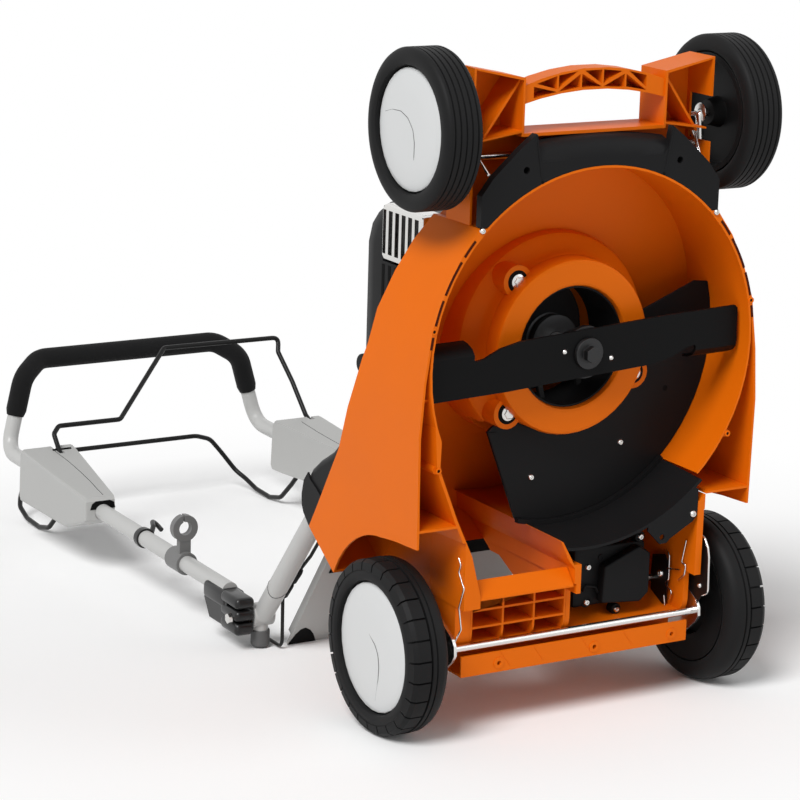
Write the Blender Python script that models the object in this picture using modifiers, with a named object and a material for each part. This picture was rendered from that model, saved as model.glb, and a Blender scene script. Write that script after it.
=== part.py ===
"""Petrol walk-behind lawn mower, tipped back for cleaning onto its rear wheels and handle.

Mower coordinates: x to the mower's left, y up from the blade deck, z forward, origin at
the rear axle. The root empty leans them back to the standing pose. Metres throughout.
"""
import math

import bmesh
import bpy
from mathutils import Matrix, Vector

for old in list(bpy.data.objects):
    bpy.data.objects.remove(old, do_unlink=True)

GAP = 0.0003
TILT = math.radians(3.27)
STANDS_AT = (-0.0075, -0.59436, 0.1134)

# deck: cutting ring about the crankshaft, wide outer skirt, sloping top
RIM_Y = -0.080
RING_Z = 0.371
RING_R = 0.2387
RING_WALL = 0.0028
WALL = 0.003
HALF_PLAN = [(0.253, 0.060), (0.253, 0.148), (0.254, 0.214), (0.255, 0.290), (0.250, 0.358),
             (0.240, 0.426), (0.222, 0.474), (0.202, 0.512), (0.177, 0.545)]
TOP = [(0.620, 0.018), (0.500, 0.040), (0.380, 0.065), (0.230, 0.120), (0.105, 0.197)]
SLANT = [(0.191, 0.101), (0.127, 0.060)]
NARROW_X = 0.180
CROSS_Z = 0.170
ARCH_R = 0.142
PLATFORM_Y = 0.075
PLATFORM_R = 0.137
COLLAR_R = 0.115
COLLAR_Y = -0.030
COLLAR_BORE = 0.079
LOBE_AT = 0.117
LOBE_R = 0.021
LOBE_Y = -0.012
LOBE_TURNS = (-41.0, -134.0, 113.5)
RIM_BOSSES = [(0.2125, 0.248), (-0.2255, 0.247)]
CHUTE = [(-0.190, 0.320), (-0.2215, 0.300), (-0.223, 0.248), (-0.196, 0.181), (-0.172, 0.130),
         (-0.1556, 0.068), (-0.0160, 0.068), (-0.0170, 0.094), (-0.028, 0.108), (-0.040, 0.1335),
         (-0.058, 0.1435), (-0.100, 0.250)]
BAY = (-0.007, 0.172)
TAIL_Y = -0.0575
ROD_CLEAR = [(-0.0560, 0.0115), (-0.0505, 0.0030)]

# running gear
FRONT_R = 0.100
FRONT_W = 0.052
FRONT_X = 0.222
FRONT_PIVOT = (-0.020, RING_Z + RING_R + 0.0123)
FRONT_AXLE = (-0.015, FRONT_PIVOT[1] + 0.038)
REAR_R = 0.1135
REAR_W = 0.0565
REAR_X = 0.24275
REAR_PIVOT = (0.0, 0.036)
RING_GEAR_R = 0.050
PINION_R = 0.0137
ROD_R = 0.005

# drive train
BLADE_Y = -0.060
BLADE_HALF = RING_R - 0.0067
CRANK_R = 0.0125
BELT_Y = 0.022
CRANK_PULLEY_R = 0.034
BOX_PULLEY = (0.072, 0.060)
BOX_PULLEY_R = 0.030
SHAFT_R = 0.0045
FUEL_Z = 0.264

# handle
MONO_X = -0.205
MONO_R = 0.0145
MONO_TOP = (0.190, 0.1846)
MONO_END = (0.4041, -0.0787)
KNUCKLE = (0.420, -0.090)
ARM_X = -0.232
ARM_Z = -0.065
TUBE_R = 0.0125
GRIP_R = 0.0168
BORE_PLAY = 0.0006
BAR_X = 0.012
LEG_HALF = 0.231
WIRE_R = 0.004
STOP_PIVOT = (1.100, -0.050)
DRIVE_PIVOT = (1.100, -0.104)
FLAP_HINGE = (0.225, 0.118)
FLAP_LENGTH = 0.3122

PARTS = bpy.data.collections.new("lawn_mower")
CUTTERS = bpy.data.collections.new("cutters")
for group in (PARTS, CUTTERS):
    bpy.context.scene.collection.children.link(group)


def empty(name, at, parent=None):
    """A joint or root frame at a place given in mower coordinates."""
    frame = bpy.data.objects.new(name, None)
    PARTS.objects.link(frame)
    frame.location = at
    if parent is not None:
        hang(frame, parent)
    return frame


def hang(obj, parent):
    """Parents an object whose location is given in mower coordinates."""
    place = Vector((0.0, 0.0, 0.0))
    above = parent
    while above is not MOWER:
        place += above.location
        above = above.parent
    obj.parent = parent
    obj.location = Vector(obj.location) - place
    return obj


MOWER = bpy.data.objects.new("mower", None)
PARTS.objects.link(MOWER)


def material(name, colour, metallic=0.0, roughness=0.5):
    paint = bpy.data.materials.new(name)
    paint.use_nodes = True
    shader = paint.node_tree.nodes["Principled BSDF"]
    shader.inputs["Base Color"].default_value = (*colour, 1.0)
    shader.inputs["Metallic"].default_value = metallic
    shader.inputs["Roughness"].default_value = roughness
    return paint


def part(obj, colour, parent=None, metallic=0.0, roughness=0.5, smooth=None):
    """Makes an object a piece of the mower, in its own material."""
    for group in list(obj.users_collection):
        group.objects.unlink(obj)
    PARTS.objects.link(obj)
    obj.data.materials.clear()
    obj.data.materials.append(material(obj.name + "_finish", colour, metallic, roughness))
    hang(obj, parent or MOWER)
    if smooth is not None:
        obj.data.shade_smooth()
        obj.data.set_sharp_from_angle(angle=math.radians(smooth))
    return obj


def tool(obj):
    """Keeps an object only as the other half of Boolean steps."""
    obj.hide_render = True
    obj.display_type = "WIRE"
    obj.parent = MOWER
    return obj


def placed(name, data, matrix=None):
    obj = bpy.data.objects.new(name, data)
    CUTTERS.objects.link(obj)
    if matrix is not None:
        obj.matrix_basis = matrix
    return obj


def shaped(name, bm, matrix=None):
    bmesh.ops.recalc_face_normals(bm, faces=bm.faces)
    mesh = bpy.data.meshes.new(name)
    bm.to_mesh(mesh)
    bm.free()
    return placed(name, mesh, matrix)


def block(name, low, high):
    """A box between two corners."""
    bm = bmesh.new()
    bmesh.ops.create_cube(bm, size=1.0)
    size = Vector(high) - Vector(low)
    bmesh.ops.scale(bm, vec=size, verts=bm.verts)
    middle = (Vector(high) + Vector(low)) / 2
    return shaped(name, bm, Matrix.Translation(middle))


def blocks(name, corners):
    """Several separate boxes in one mesh."""
    bm = bmesh.new()
    for low, high in corners:
        size = Vector(high) - Vector(low)
        middle = (Vector(high) + Vector(low)) / 2
        move = Matrix.Translation(middle) @ Matrix.Diagonal((*size, 1.0))
        bmesh.ops.create_cube(bm, size=1.0, matrix=move)
    return shaped(name, bm)


def frame_along(start, end):
    """A frame at start whose z axis points to end."""
    way = Vector(end) - Vector(start)
    return Matrix.Translation(start) @ way.to_track_quat("Z", "Y").to_matrix().to_4x4()


def rod(name, start, end, radius, sides=24):
    """A cylinder between two points."""
    bm = bmesh.new()
    length = (Vector(end) - Vector(start)).length
    middle = Matrix.Translation((0.0, 0.0, length / 2))
    bmesh.ops.create_cone(bm, cap_ends=True, segments=sides, radius1=radius, radius2=radius,
                          depth=length, matrix=middle)
    return shaped(name, bm, frame_along(start, end))


def turned(name, profile, start, end, steps=32):
    """A profile (radius, height), outer side running down, turned about start to end."""
    mesh = bpy.data.meshes.new(name)
    points = [(r, 0.0, h) for r, h in profile]
    edges = [(i, i + 1) for i in range(len(points) - 1)]
    if profile[0][0] > 0.0:
        edges.append((len(points) - 1, 0))
    mesh.from_pydata(points, edges, [])
    obj = placed(name, mesh, frame_along(start, end))
    screw = obj.modifiers.new("turn", "SCREW")
    screw.steps = steps
    screw.render_steps = steps
    screw.use_merge_vertices = True
    screw.merge_threshold = 0.00005
    screw.use_smooth_shade = False
    return obj


def baked(curve_object, flat=False):
    """The mesh of a curve object with its caps welded, and whole where flat, in the same place."""
    bpy.context.view_layer.update()
    graph = bpy.context.evaluated_depsgraph_get()
    mesh = bpy.data.meshes.new_from_object(curve_object.evaluated_get(graph))
    name = curve_object.name
    matrix = curve_object.matrix_world.copy()
    curve = curve_object.data
    bpy.data.objects.remove(curve_object, do_unlink=True)
    bpy.data.curves.remove(curve)
    bm = bmesh.new()
    bm.from_mesh(mesh)
    bmesh.ops.remove_doubles(bm, verts=bm.verts, dist=0.00002)
    if flat:
        bmesh.ops.dissolve_limit(bm, angle_limit=0.0005, verts=bm.verts, edges=bm.edges)
    bpy.data.meshes.remove(mesh)
    return shaped(name, bm, matrix)


TURNS = {
    "x": Matrix(((0, 0, 1, 0), (1, 0, 0, 0), (0, 1, 0, 0), (0, 0, 0, 1))),
    "y": Matrix(((1, 0, 0, 0), (0, 0, -1, 0), (0, 1, 0, 0), (0, 0, 0, 1))),
    "z": Matrix.Identity(4),
}


def prism(name, outline, axis, low, high):
    """A flat outline thickened along an axis; the outline gives the other two coordinates."""
    curve = bpy.data.curves.new(name, "CURVE")
    curve.dimensions = "2D"
    curve.fill_mode = "BOTH"
    curve.extrude = (high - low) / 2
    spline = curve.splines.new("POLY")
    spline.points.add(len(outline) - 1)
    for point, (a, b) in zip(spline.points, outline):
        point.co = (a, b, 0.0, 1.0)
    spline.use_cyclic_u = True
    way = Vector([1.0 if axis == a else 0.0 for a in "xyz"])
    matrix = Matrix.Translation(way * (low + high) / 2) @ TURNS[axis]
    return baked(placed(name, curve, matrix), True)


def tube(name, points, radius, resolution=4):
    """A round bar along points."""
    curve = bpy.data.curves.new(name, "CURVE")
    curve.dimensions = "3D"
    curve.bevel_depth = radius
    curve.bevel_resolution = resolution
    curve.use_fill_caps = True
    spline = curve.splines.new("POLY")
    spline.points.add(len(points) - 1)
    for point, place in zip(spline.points, points):
        point.co = (*place, 1.0)
    return baked(placed(name, curve))


def cut(obj, other, operation="DIFFERENCE"):
    step = obj.modifiers.new(other.name, "BOOLEAN")
    step.operation = operation
    step.solver = "EXACT"
    step.object = tool(other)
    return obj


def join(obj, other):
    return cut(obj, other, "UNION")


def arc(centre, radius, first, last, count):
    """Points on an arc, turned from the second axis towards the first, in degrees."""
    turns = [math.radians(first + (last - first) * i / count) for i in range(count + 1)]
    return [(centre[0] + radius * math.sin(t), centre[1] + radius * math.cos(t)) for t in turns]


def mirrored(points):
    return [(-x, *rest) for x, *rest in reversed(points)]


def rounded(points, radius, steps=4):
    """A path with its sharper corners rounded."""
    path = [Vector(points[0])]
    for before, corner, after in zip(points, points[1:], points[2:]):
        corner = Vector(corner)
        back = (Vector(before) - corner).normalized()
        ahead = (Vector(after) - corner).normalized()
        half = back.angle(ahead) / 2
        if half > math.radians(76):
            path.append(corner)
            continue
        reach = radius / math.tan(half)
        first = corner + back * reach
        last = corner + ahead * reach
        for i in range(steps + 1):
            t = i / steps
            path.append(first * (1 - t) ** 2 + corner * 2 * t * (1 - t) + last * t ** 2)
    path.append(Vector(points[-1]))
    return path


def top_profile(shift):
    """Side outline of the wide deck, moved inwards by shift."""
    line = [(y - shift, z) for z, y in TOP]
    slant = [(y - shift * 0.6, z + shift) for y, z in SLANT]
    return [(RIM_Y - 0.020, 0.640), (TOP[0][1] - shift, 0.640), *line, *slant,
            (RIM_Y - 0.020, SLANT[1][1] + shift)]


ORANGE = (0.85, 0.19, 0.012)
BLACK = (0.012, 0.012, 0.013)
RUBBER = (0.010, 0.010, 0.011)
GREY = (0.55, 0.55, 0.53)
CAP_GREY = (0.62, 0.63, 0.62)
STEEL = (0.62, 0.62, 0.60)
DARK_STEEL = (0.08, 0.08, 0.085)
CENTRE = (0.0, RING_Z)
RING_OUT = RING_R + RING_WALL
RING_FRONT = RING_Z + RING_R


# deck
def deck_shell():
    plan = HALF_PLAN + arc(CENTRE, RING_OUT, 44.0, -44.0, 24) + mirrored(HALF_PLAN)
    body = prism("deck_shell", plan, "y", RIM_Y, 0.210)
    cut(body, prism("deck_side", top_profile(0.0), "x", -0.300, 0.300), "INTERSECT")
    tail = [(TAIL_Y, 0.020), *ROD_CLEAR, (ROD_CLEAR[-1][0], 0.0), (-0.020, 0.0), (0.170, 0.0905),
            (0.165, 0.125), (0.130, 0.170), (RIM_Y, 0.170), (RIM_Y, 0.075), (TAIL_Y, 0.072)]
    join(body, prism("deck_tail", tail, "x", -NARROW_X, NARROW_X))
    cut(body, rod("platform_recess", (0, PLATFORM_Y - 0.0008, RING_Z), (0, 0.3, RING_Z), PLATFORM_R, 48))
    join(body, rod("platform", (0, 0.010, RING_Z), (0, PLATFORM_Y, RING_Z), PLATFORM_R - 0.001, 48))

    # hollow between ring and skirt, crossed by ribs and screw bosses
    inset = [(x - WALL, z) for x, z in HALF_PLAN[2:5]]
    inset = [(HALF_PLAN[1][0] - WALL, CROSS_Z + WALL)] + inset + [(0.2388, 0.415), (0.210, 0.415)]
    hollow = prism("skirt_hollow", inset + mirrored(inset), "y", RIM_Y - 0.010, 0.230)
    arch_in = NARROW_X + WALL
    arch_out = HALF_PLAN[0][0] - WALL
    arch_low = (arch_in, RIM_Y - 0.010, SLANT[1][1] - 0.030)
    arch_high = (arch_out, 0.230, CROSS_Z)
    join(hollow, block("arch_hollow_left", arch_low, arch_high))
    join(hollow, block("arch_hollow_right", (-arch_out, *arch_low[1:]), (-arch_in, *arch_high[1:])))
    cut(hollow, prism("hollow_side", top_profile(WALL), "x", -0.300, 0.300), "INTERSECT")
    cut(hollow, rod("ring_core", (0, -0.2, RING_Z), (0, 0.3, RING_Z), RING_OUT, 60))
    walled = [(-0.190, 0.330), (-0.2315, 0.3015), (-0.2272, 0.247), (-0.2000, 0.180),
              (-0.1762, 0.128), (-0.1600, 0.065), (-0.090, 0.065), (-0.090, 0.250)]
    cut(hollow, prism("chute_wall", walled, "y", -0.2, 0.3))
    cut(hollow, skirt_ribs())
    cut(body, hollow)

    chamber = rod("blade_chamber", (0, RIM_Y - 0.010, RING_Z), (0, 0.2, RING_Z), RING_R, 64)
    join(chamber, prism("chute_space", CHUTE, "y", RIM_Y - 0.011, 0.21))
    cut(chamber, prism("chamber_side", top_profile(WALL), "x", -0.310, 0.310), "INTERSECT")
    under = PLATFORM_R + WALL
    cut(chamber, rod("recess_wall", (0, PLATFORM_Y - WALL, RING_Z), (0, 0.31, RING_Z), under, 44))
    collar = turned("hub_collar", [
        (0.0, 0.24), (COLLAR_R, 0.24), (COLLAR_R, COLLAR_Y + 0.0075), (COLLAR_R - 0.0022, COLLAR_Y + 0.0022),
        (COLLAR_R - 0.0075, COLLAR_Y), (0.0, COLLAR_Y)], (0, 0, RING_Z), (0, 1, RING_Z), 48)
    for turn in LOBE_TURNS:
        (x, z), = arc(CENTRE, LOBE_AT, turn, turn, 1)[:1]
        join(collar, rod(f"lobe_{turn:.0f}", (x, LOBE_Y, z), (x, 0.23, z), LOBE_R, 20))
    cut(chamber, collar)
    cut(body, chamber)
    cut(body, turned("hub_bore", [
        (0.0, 0.20), (COLLAR_BORE, 0.20), (COLLAR_BORE, COLLAR_Y + 0.0060),
        (COLLAR_BORE + 0.0018, COLLAR_Y + 0.0018), (COLLAR_BORE + 0.0060, COLLAR_Y),
        (COLLAR_BORE + 0.0060, RIM_Y), (0.0, RIM_Y)], (0, 0, RING_Z), (0, 1, RING_Z), 40))

    # rear opening above the chute ramp, gearbox bay, belt passage
    cut(body, block("rear_opening", (-0.1575, -0.11, -0.02), (-0.0135, 0.165, 0.0734)))
    bay = block("gear_bay", (BAY[0], -0.12, 0.004), (BAY[1], 0.230, CROSS_Z))
    tail_in = [(-0.15, 0.004), (-0.020, 0.0045), (0.180, 0.1000), (0.1825, 0.105),
               (0.140, 0.165), (-0.15, 0.165)]
    cut(bay, prism("bay_side", tail_in, "x", -0.25, 0.25), "INTERSECT")
    cut(bay, rod("bay_ring", (0, -0.2, RING_Z), (0, 0.3, RING_Z), RING_OUT, 60))
    cut(body, bay)
    sector = arc(CENTRE, RING_R - 0.0042, 135.7, 193.5, 15) + [(-0.0365, 0.1318), (-0.0225, 0.1075)]
    sector += arc(CENTRE, RING_R + 0.0338, 183.9, 135.7, 12)
    cut(body, prism("rear_skirt_seat", sector, "y", RIM_Y - 0.01, 0.0003))
    belt_way = block("belt_way", (-0.040, -0.010, -0.280), (0.040, 0.012, -0.050))
    turn = math.atan2(-BOX_PULLEY[0], RING_Z - BOX_PULLEY[1])
    belt_way.matrix_basis = (Matrix.Translation((0, BELT_Y, RING_Z)) @ Matrix.Rotation(turn, 4, "Y")
                             @ belt_way.matrix_basis)
    cut(body, belt_way)

    # wheel arches, axle and shaft holes, flap ears
    for side in (1, -1):
        name = "left" if side > 0 else "right"
        arch = rod(f"wheel_arch_{name}", (side * (arch_in - 0.001), 0, 0), (side * 0.3, 0, 0), ARCH_R, 46)
        foot = [(-0.110, 0.0), (-0.110, 0.1495), (RIM_Y, 0.149), (-0.028, 0.146), (0.004, 0.1425), (0.0, 0.0)]
        join(arch, prism(f"arch_foot_{name}", foot, "x", *sorted((side * (arch_in - 0.0012), side * 0.301))))
        cut(body, arch)
        ear = prism(f"flap_ear_{name}", [(0.1915, 0.110), (0.236, 0.111), (0.236, 0.125), (0.1735, 0.140)],
                    "x", *sorted((side * 0.1705, side * 0.1785)))
        join(body, ear)
    y, z = REAR_PIVOT
    cut(body, rod("drive_shaft_hole", (-0.2, y, z), (0.2, y, z), SHAFT_R + GAP, 16))
    y, z = FLAP_HINGE
    cut(body, rod("flap_pin_hole", (-0.1775, y, z), (0.1775, y, z), 0.0033, 18))
    return part(body, ORANGE)


def skirt_ribs():
    """Radial ribs and screw bosses left standing between ring and skirt."""
    bm = bmesh.new()
    for turn in (87.2, 98.4, -87.2, -98.4):
        rib = (Matrix.Translation((0, 0, RING_Z)) @ Matrix.Rotation(math.radians(turn), 4, "Y")
               @ Matrix.Translation((0, 0.080, 0.265)) @ Matrix.Diagonal((0.0025, 0.300, 0.060, 1.0)))
        bmesh.ops.create_cube(bm, size=1.0, matrix=rib)
    for x, z in RIM_BOSSES:
        boss = Matrix.Translation((x, 0.080, z)) @ Matrix.Rotation(math.radians(90), 4, "X")
        bmesh.ops.create_cone(bm, cap_ends=True, segments=12, radius1=0.0055, radius2=0.0055,
                              depth=0.310, matrix=boss)
    return shaped("skirt_ribs", bm)


def front_frame():
    """Tapered open boxes beside the front wheels, joined by a top plate and the carry handle."""
    low, outer, inner = RING_FRONT - 0.0642, 0.178, 0.104
    corner, brow, roof, back = RING_FRONT + 0.1275, RING_FRONT + 0.1125, -0.0035, low - 0.0155
    plan = [(-outer, low), (outer, low), (outer, corner), (inner, brow), (-inner, brow), (-outer, corner)]
    frame = prism("front_frame", plan, "y", -0.055, 0.0)
    for side in (1, -1):
        x0, x1 = side * (inner + WALL), side * (outer - WALL)
        room = [(x0, back), (x1, back), (x1, corner - WALL), (x0, brow - WALL)]
        room = prism(f"frame_inside_{side}", room, "y", -0.0705 - 0.0005 * side, roof)
        floor = [(0.100, 0.0465), (0.180, 0.0347), (0.180, 0.0372), (0.100, 0.0490)]
        floor = [(side * x, RING_FRONT + z) for x, z in floor]
        cut(room, prism(f"frame_floor_{side}", floor, "y", -0.080, 0.010))
        rib = [(0.1045, 0.1090), (0.1070, 0.1110), (0.1630, 0.0340), (0.1605, 0.0320)]
        rib = [(side * x, RING_FRONT + z) for x, z in rib]
        cut(room, prism(f"frame_rib_{side}", rib, "y", -0.046, 0.011))
        cut(frame, room)
        near, far = sorted((side * (outer - 0.008), side * (outer + 0.004)))
        window = (near, -0.056, RING_FRONT + 0.0193), (far, -0.010, RING_FRONT + 0.0773)
        cut(frame, block(f"axle_window_{side}", *window))
    side = inner + 0.010
    cut(frame, block("frame_middle", (-side, -0.0705, back - 0.002), (side, roof, RING_FRONT + 0.0403)))
    cut(frame, block("hand_hole", (-inner, -0.072, RING_FRONT + 0.0443), (inner, 0.010, RING_FRONT + 0.1503)))
    cut(frame, rod("frame_ring", (0, -0.2, RING_Z), (0, 0.2, RING_Z), RING_OUT + GAP, 64))
    y, z = FRONT_PIVOT
    cut(frame, rod("front_axle_hole", (-0.3, y, z), (0.3, y, z), ROD_R + GAP, 20))
    bow = (-0.106, -0.080, -0.050, -0.018, 0.018, 0.050, 0.080, 0.106)
    arch = [(x, z_inner(x)) for x in bow] + [(x, z_outer(x)) for x in reversed(bow)]
    handle = prism("carry_handle", arch, "y", -0.052, -0.022)
    bays = (-0.0915, -0.0555, -0.0215, 0.0105, 0.0445, 0.0775)
    for i, (near, far) in enumerate(zip(bays, bays[1:])):
        left, right = (near + 0.0012, far - 0.0012) if i % 2 else (far - 0.0012, near + 0.0012)
        slant = 0.004 if right > left else -0.004
        below = [(left, z_inner(left) + 0.003), (right - slant, z_inner(right) + 0.003),
                 (right, z_inner(right) + 0.0035), (right, z_outer(right) - 0.0065)]
        above = [(left, z_outer(left) - 0.003), (right - slant, z_outer(right) - 0.003),
                 (left, z_inner(left) + 0.0065)]
        cut(handle, prism(f"pocket_below_{i}", below, "y", -0.060, -0.026))
        cut(handle, prism(f"pocket_above_{i}", above, "y", -0.060, -0.026))
    join(frame, handle)
    return part(frame, ORANGE)


def z_inner(x):
    return RING_FRONT + 0.0938 - 1.3 * x ** 2


def z_outer(x):
    return RING_FRONT + 0.1208 - 1.7 * x ** 2


def front_skirt():
    """Rounded black band in front of the ring, between two flat screw lobes."""
    side, low, round_ring = 0.177, RING_FRONT - 0.0637, RING_OUT + GAP
    arc_half = math.degrees(math.acos((low - RING_Z) / round_ring))
    lobe = [(-side, low), (-side, RING_FRONT - 0.0247), (-0.161, RING_FRONT - 0.0037),
            (-0.122, RING_FRONT + 0.0313), (-0.101, RING_FRONT + 0.0473), (-0.098, RING_FRONT + 0.0263),
            (-0.090, RING_FRONT + 0.0123)]
    outline = lobe + mirrored(lobe) + arc(CENTRE, round_ring, arc_half, -arc_half, 24)
    skirt = prism("front_skirt", outline, "y", RIM_Y, -0.0685)
    band = bmesh.new()
    rows = []
    for i in range(15):
        turn = math.radians(2.943 * (i - 7))
        edge = 0.2785
        for _ in range(4):
            edge = (0.2785 - 0.75 * (edge * math.sin(turn)) ** 2) / math.cos(turn)
        section = [(round_ring + 0.001, RIM_Y), (edge - 0.026, RIM_Y), (edge - 0.012, -0.0765),
                   (edge - 0.0035, -0.068), (edge, -0.056), (edge, -0.048), (edge - 0.0028, -0.048),
                   (edge - 0.0028, -0.0555), (edge - 0.0062, -0.0660), (edge - 0.0135, -0.0738),
                   (edge - 0.0265, -0.077), (round_ring + 0.001, -0.077)]
        rows.append([band.verts.new((r * math.sin(turn), y, RING_Z + r * math.cos(turn)))
                     for r, y in section])
    lofted(band, rows)
    join(skirt, shaped("skirt_band", band))
    boss_z = RING_FRONT + 0.0033
    for x in (0.114, -0.114):
        join(skirt, rod(f"skirt_boss_{x}", (x, -0.070, boss_z), (x, -0.057, boss_z), 0.009, 16))
        cut(skirt, rod(f"skirt_hole_{x}", (x, -0.1, boss_z), (x, -0.065, boss_z), 0.0045, 12))
    return part(skirt, BLACK)


def lofted(bm, rows):
    """Closes rows of equally many vertices into one body."""
    for row, after in zip(rows, rows[1:]):
        for j in range(len(row)):
            k = (j + 1) % len(row)
            bm.faces.new((row[j], row[k], after[k], after[j]))
    bm.faces.new(rows[0])
    bm.faces.new(rows[-1])
    bmesh.ops.recalc_face_normals(bm, faces=bm.faces)


def rear_skirt():
    """Black band closing the ring in front of the gearbox, with a flat screw lobe at its end."""
    bm = bmesh.new()
    rows = []
    foot, brim = RING_R + 0.0110, RING_R + 0.0150
    section = [(RING_R, 0.0), (RING_R + 0.001, -0.020), (foot, RIM_Y), (brim, RIM_Y), (brim, RIM_Y + 0.003),
               (foot + 0.0015, RIM_Y + 0.003), (RING_R + 0.0045, -0.020), (RING_R + 0.0035, 0.0)]
    count = 14
    for i in range(count + 1):
        turn = math.radians(136.0 + 57.0 * i / count)
        rows.append([bm.verts.new((r * math.sin(turn), y, RING_Z + r * math.cos(turn))) for r, y in section])
    lofted(bm, rows)
    band = shaped("rear_skirt", bm)
    beside_wall = [(-0.0720, 0.1538), (-0.0362, 0.1321), (-0.0221, 0.1077), (-0.0170, 0.0968),
                   (-0.0720, 0.0968)]
    cut(band, prism("chute_wall_room", beside_wall, "y", -0.10, 0.02))
    lobe = arc(CENTRE, RING_R + 0.013, 139.0, 158.0, 6)
    lobe += [(0.0943, 0.1300), (0.108, 0.116), (0.114, 0.110), (0.124, 0.1105), (0.130, 0.116),
             (0.164, 0.1345), (0.1712, 0.142), (0.1712, 0.178)]
    join(band, prism("screw_lobe", lobe, "y", RIM_Y + 0.0001, RIM_Y + 0.0031))
    cut(band, rod("lobe_hole", (0.117, -0.1, 0.119), (0.117, -0.06, 0.119), 0.0038, 14))
    return part(band, BLACK)


def belt_cover():
    """Plate over the belt under the deck ceiling."""
    outline = [(-0.104, 0.263), (-0.0575, 0.1445)] + arc(CENTRE, RING_R - 0.0008, 193.3, 75.0, 22)
    outline += [(0.209, 0.435), (0.126, 0.402)] + arc(CENTRE, COLLAR_R + GAP, 100.0, 222.0, 20)
    cover = prism("belt_cover", outline, "y", 0.004, 0.008)
    for turn in LOBE_TURNS[1:]:
        (x, z), = arc(CENTRE, LOBE_AT, turn, turn, 1)[:1]
        cut(cover, rod(f"cover_notch_{turn:.0f}", (x, -0.02, z), (x, 0.03, z), LOBE_R + GAP, 20))
    return part(cover, BLACK)


def chute_ramp():
    x0, x1 = -0.1572, -0.0138
    side = [(TAIL_Y, 0.020), *ROD_CLEAR, (0.010, 0.003), (0.010, 0.052), (-0.020, 0.0728), (TAIL_Y, 0.0728)]
    ramp = prism("chute_ramp", side, "x", x0, x1)
    pockets = []
    wide = (x1 - x0 - 0.003 * 4) / 3
    for i in range(3):
        x = x0 + 0.003 + i * (wide + 0.003)
        for j in range(3):
            z = 0.006 + j * 0.0225
            pockets.append(((x, -0.1, z), (x + wide, -0.0235 if j == 2 else -0.0085, z + 0.0195)))
    cut(ramp, blocks("ramp_pockets", pockets))
    y, z = REAR_PIVOT
    cut(ramp, rod("ramp_shaft_hole", (-0.2, y, z), (0.0, y, z), SHAFT_R + GAP, 16))
    sill = [(TAIL_Y + 0.002, 0.0726), (TAIL_Y + 0.002, 0.0700), (RIM_Y, 0.0700), (RIM_Y, 0.0722),
            (-0.0628, 0.0925), (-0.0602, 0.0910), (-0.0755, 0.0726)]
    join(ramp, prism("chute_sill", sill, "x", x0 + 0.0004, -0.0178))
    return part(ramp, ORANGE)


def rear_lip():
    """Channel along the tail below the cross rod."""
    side = [(-0.066, -0.0335), (-0.022, -0.0335), (-0.022, -GAP), (-0.025, -GAP), (-0.025, -0.031),
            (-0.063, -0.031), (-0.063, -0.006), (-0.066, -0.006)]
    lip = prism("rear_lip", side, "x", -0.174, 0.174)
    for x in (-0.118, 0.028, 0.150):
        join(lip, rod(f"lip_boss_{x}", (x, -0.067, -0.0215), (x, -0.0645, -0.0215), 0.0075, 16))
        cut(lip, rod(f"lip_hole_{x}", (x, -0.075, -0.0215), (x, -0.060, -0.0215), 0.003, 12))
    return part(lip, ORANGE)


# gearbox and drive
def gearbox():
    case = block("gearbox_case", (0.0155, -0.030, 0.020), (0.128, 0.0125, 0.101))
    bevel = case.modifiers.new("edges", "BEVEL")
    bevel.width = 0.006
    bevel.segments = 2
    y, z = REAR_PIVOT
    cut(case, rod("case_shaft_bore", (-0.1, y, z), (0.2, y, z), SHAFT_R + GAP, 16))
    x, z = BOX_PULLEY
    cut(case, rod("case_input_bore", (x, -0.002, z), (x, 0.05, z), 0.0065, 16))
    part(case, BLACK)
    outline = [(0.054, 0.077), (0.108, 0.099), (0.126, 0.087), (0.126, 0.033), (0.112, 0.0215),
               (0.052, 0.027)]
    cover = prism("gearbox_cover", outline, "y", -0.045, -0.030 - GAP)
    bevel = cover.modifiers.new("edges", "BEVEL")
    bevel.width = 0.003
    bevel.segments = 2
    part(cover, BLACK)


def v_pulley(name, x, z, radius, bore, low, parent, stub=None):
    """Pulley with a V groove about the y axis, on a bore or with a stub shaft."""
    half = 0.0085
    rim = [(radius, BELT_Y + half), (radius - 0.009, BELT_Y + 0.0038), (radius - 0.009, BELT_Y - 0.0038),
           (radius, BELT_Y - half), (radius - 0.012, low)]
    if stub is None:
        profile = [(bore, BELT_Y + half), *rim, (bore, low)]
    else:
        profile = [(0.0, BELT_Y + half), *rim, (stub, low), (stub, 0.0), (0.0, 0.0)]
    pulley = turned(name, profile, (x, 0.0, z), (x, 1.0, z), 28)
    return part(pulley, STEEL, parent, 1.0, 0.35, 35)


def belt_loop(extra, joint):
    """Outline of the belt's pitch loop moved outwards by extra."""
    ax, az = CENTRE
    bx, bz = BOX_PULLEY
    ra = CRANK_PULLEY_R - 0.0045 + extra + joint
    rb = BOX_PULLEY_R - 0.0045 + extra + joint
    base = math.degrees(math.atan2(bx - ax, bz - az))
    lean = math.degrees(math.asin((ra - rb) / math.hypot(bx - ax, bz - az)))
    first = arc(CENTRE, ra, base + 90 - lean, base + 270 + lean, 16)
    second = arc(BOX_PULLEY, rb, base - 90 + lean, base + 90 - lean, 16)
    return first + second


def v_belt():
    belt = prism("v_belt", belt_loop(0.0035, 0.0003), "y", BELT_Y - 0.0035, BELT_Y + 0.0035)
    cut(belt, prism("belt_inside", belt_loop(-0.0035, 0.0003), "y", BELT_Y - 0.01, BELT_Y + 0.01))
    return part(belt, RUBBER)


def drive_shaft(parent):
    y, z = REAR_PIVOT
    shaft = rod("drive_shaft", (-0.2160, y, z), (0.2160, y, z), SHAFT_R, 20)
    return part(shaft, STEEL, parent, 1.0, 0.25, 40)


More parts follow.
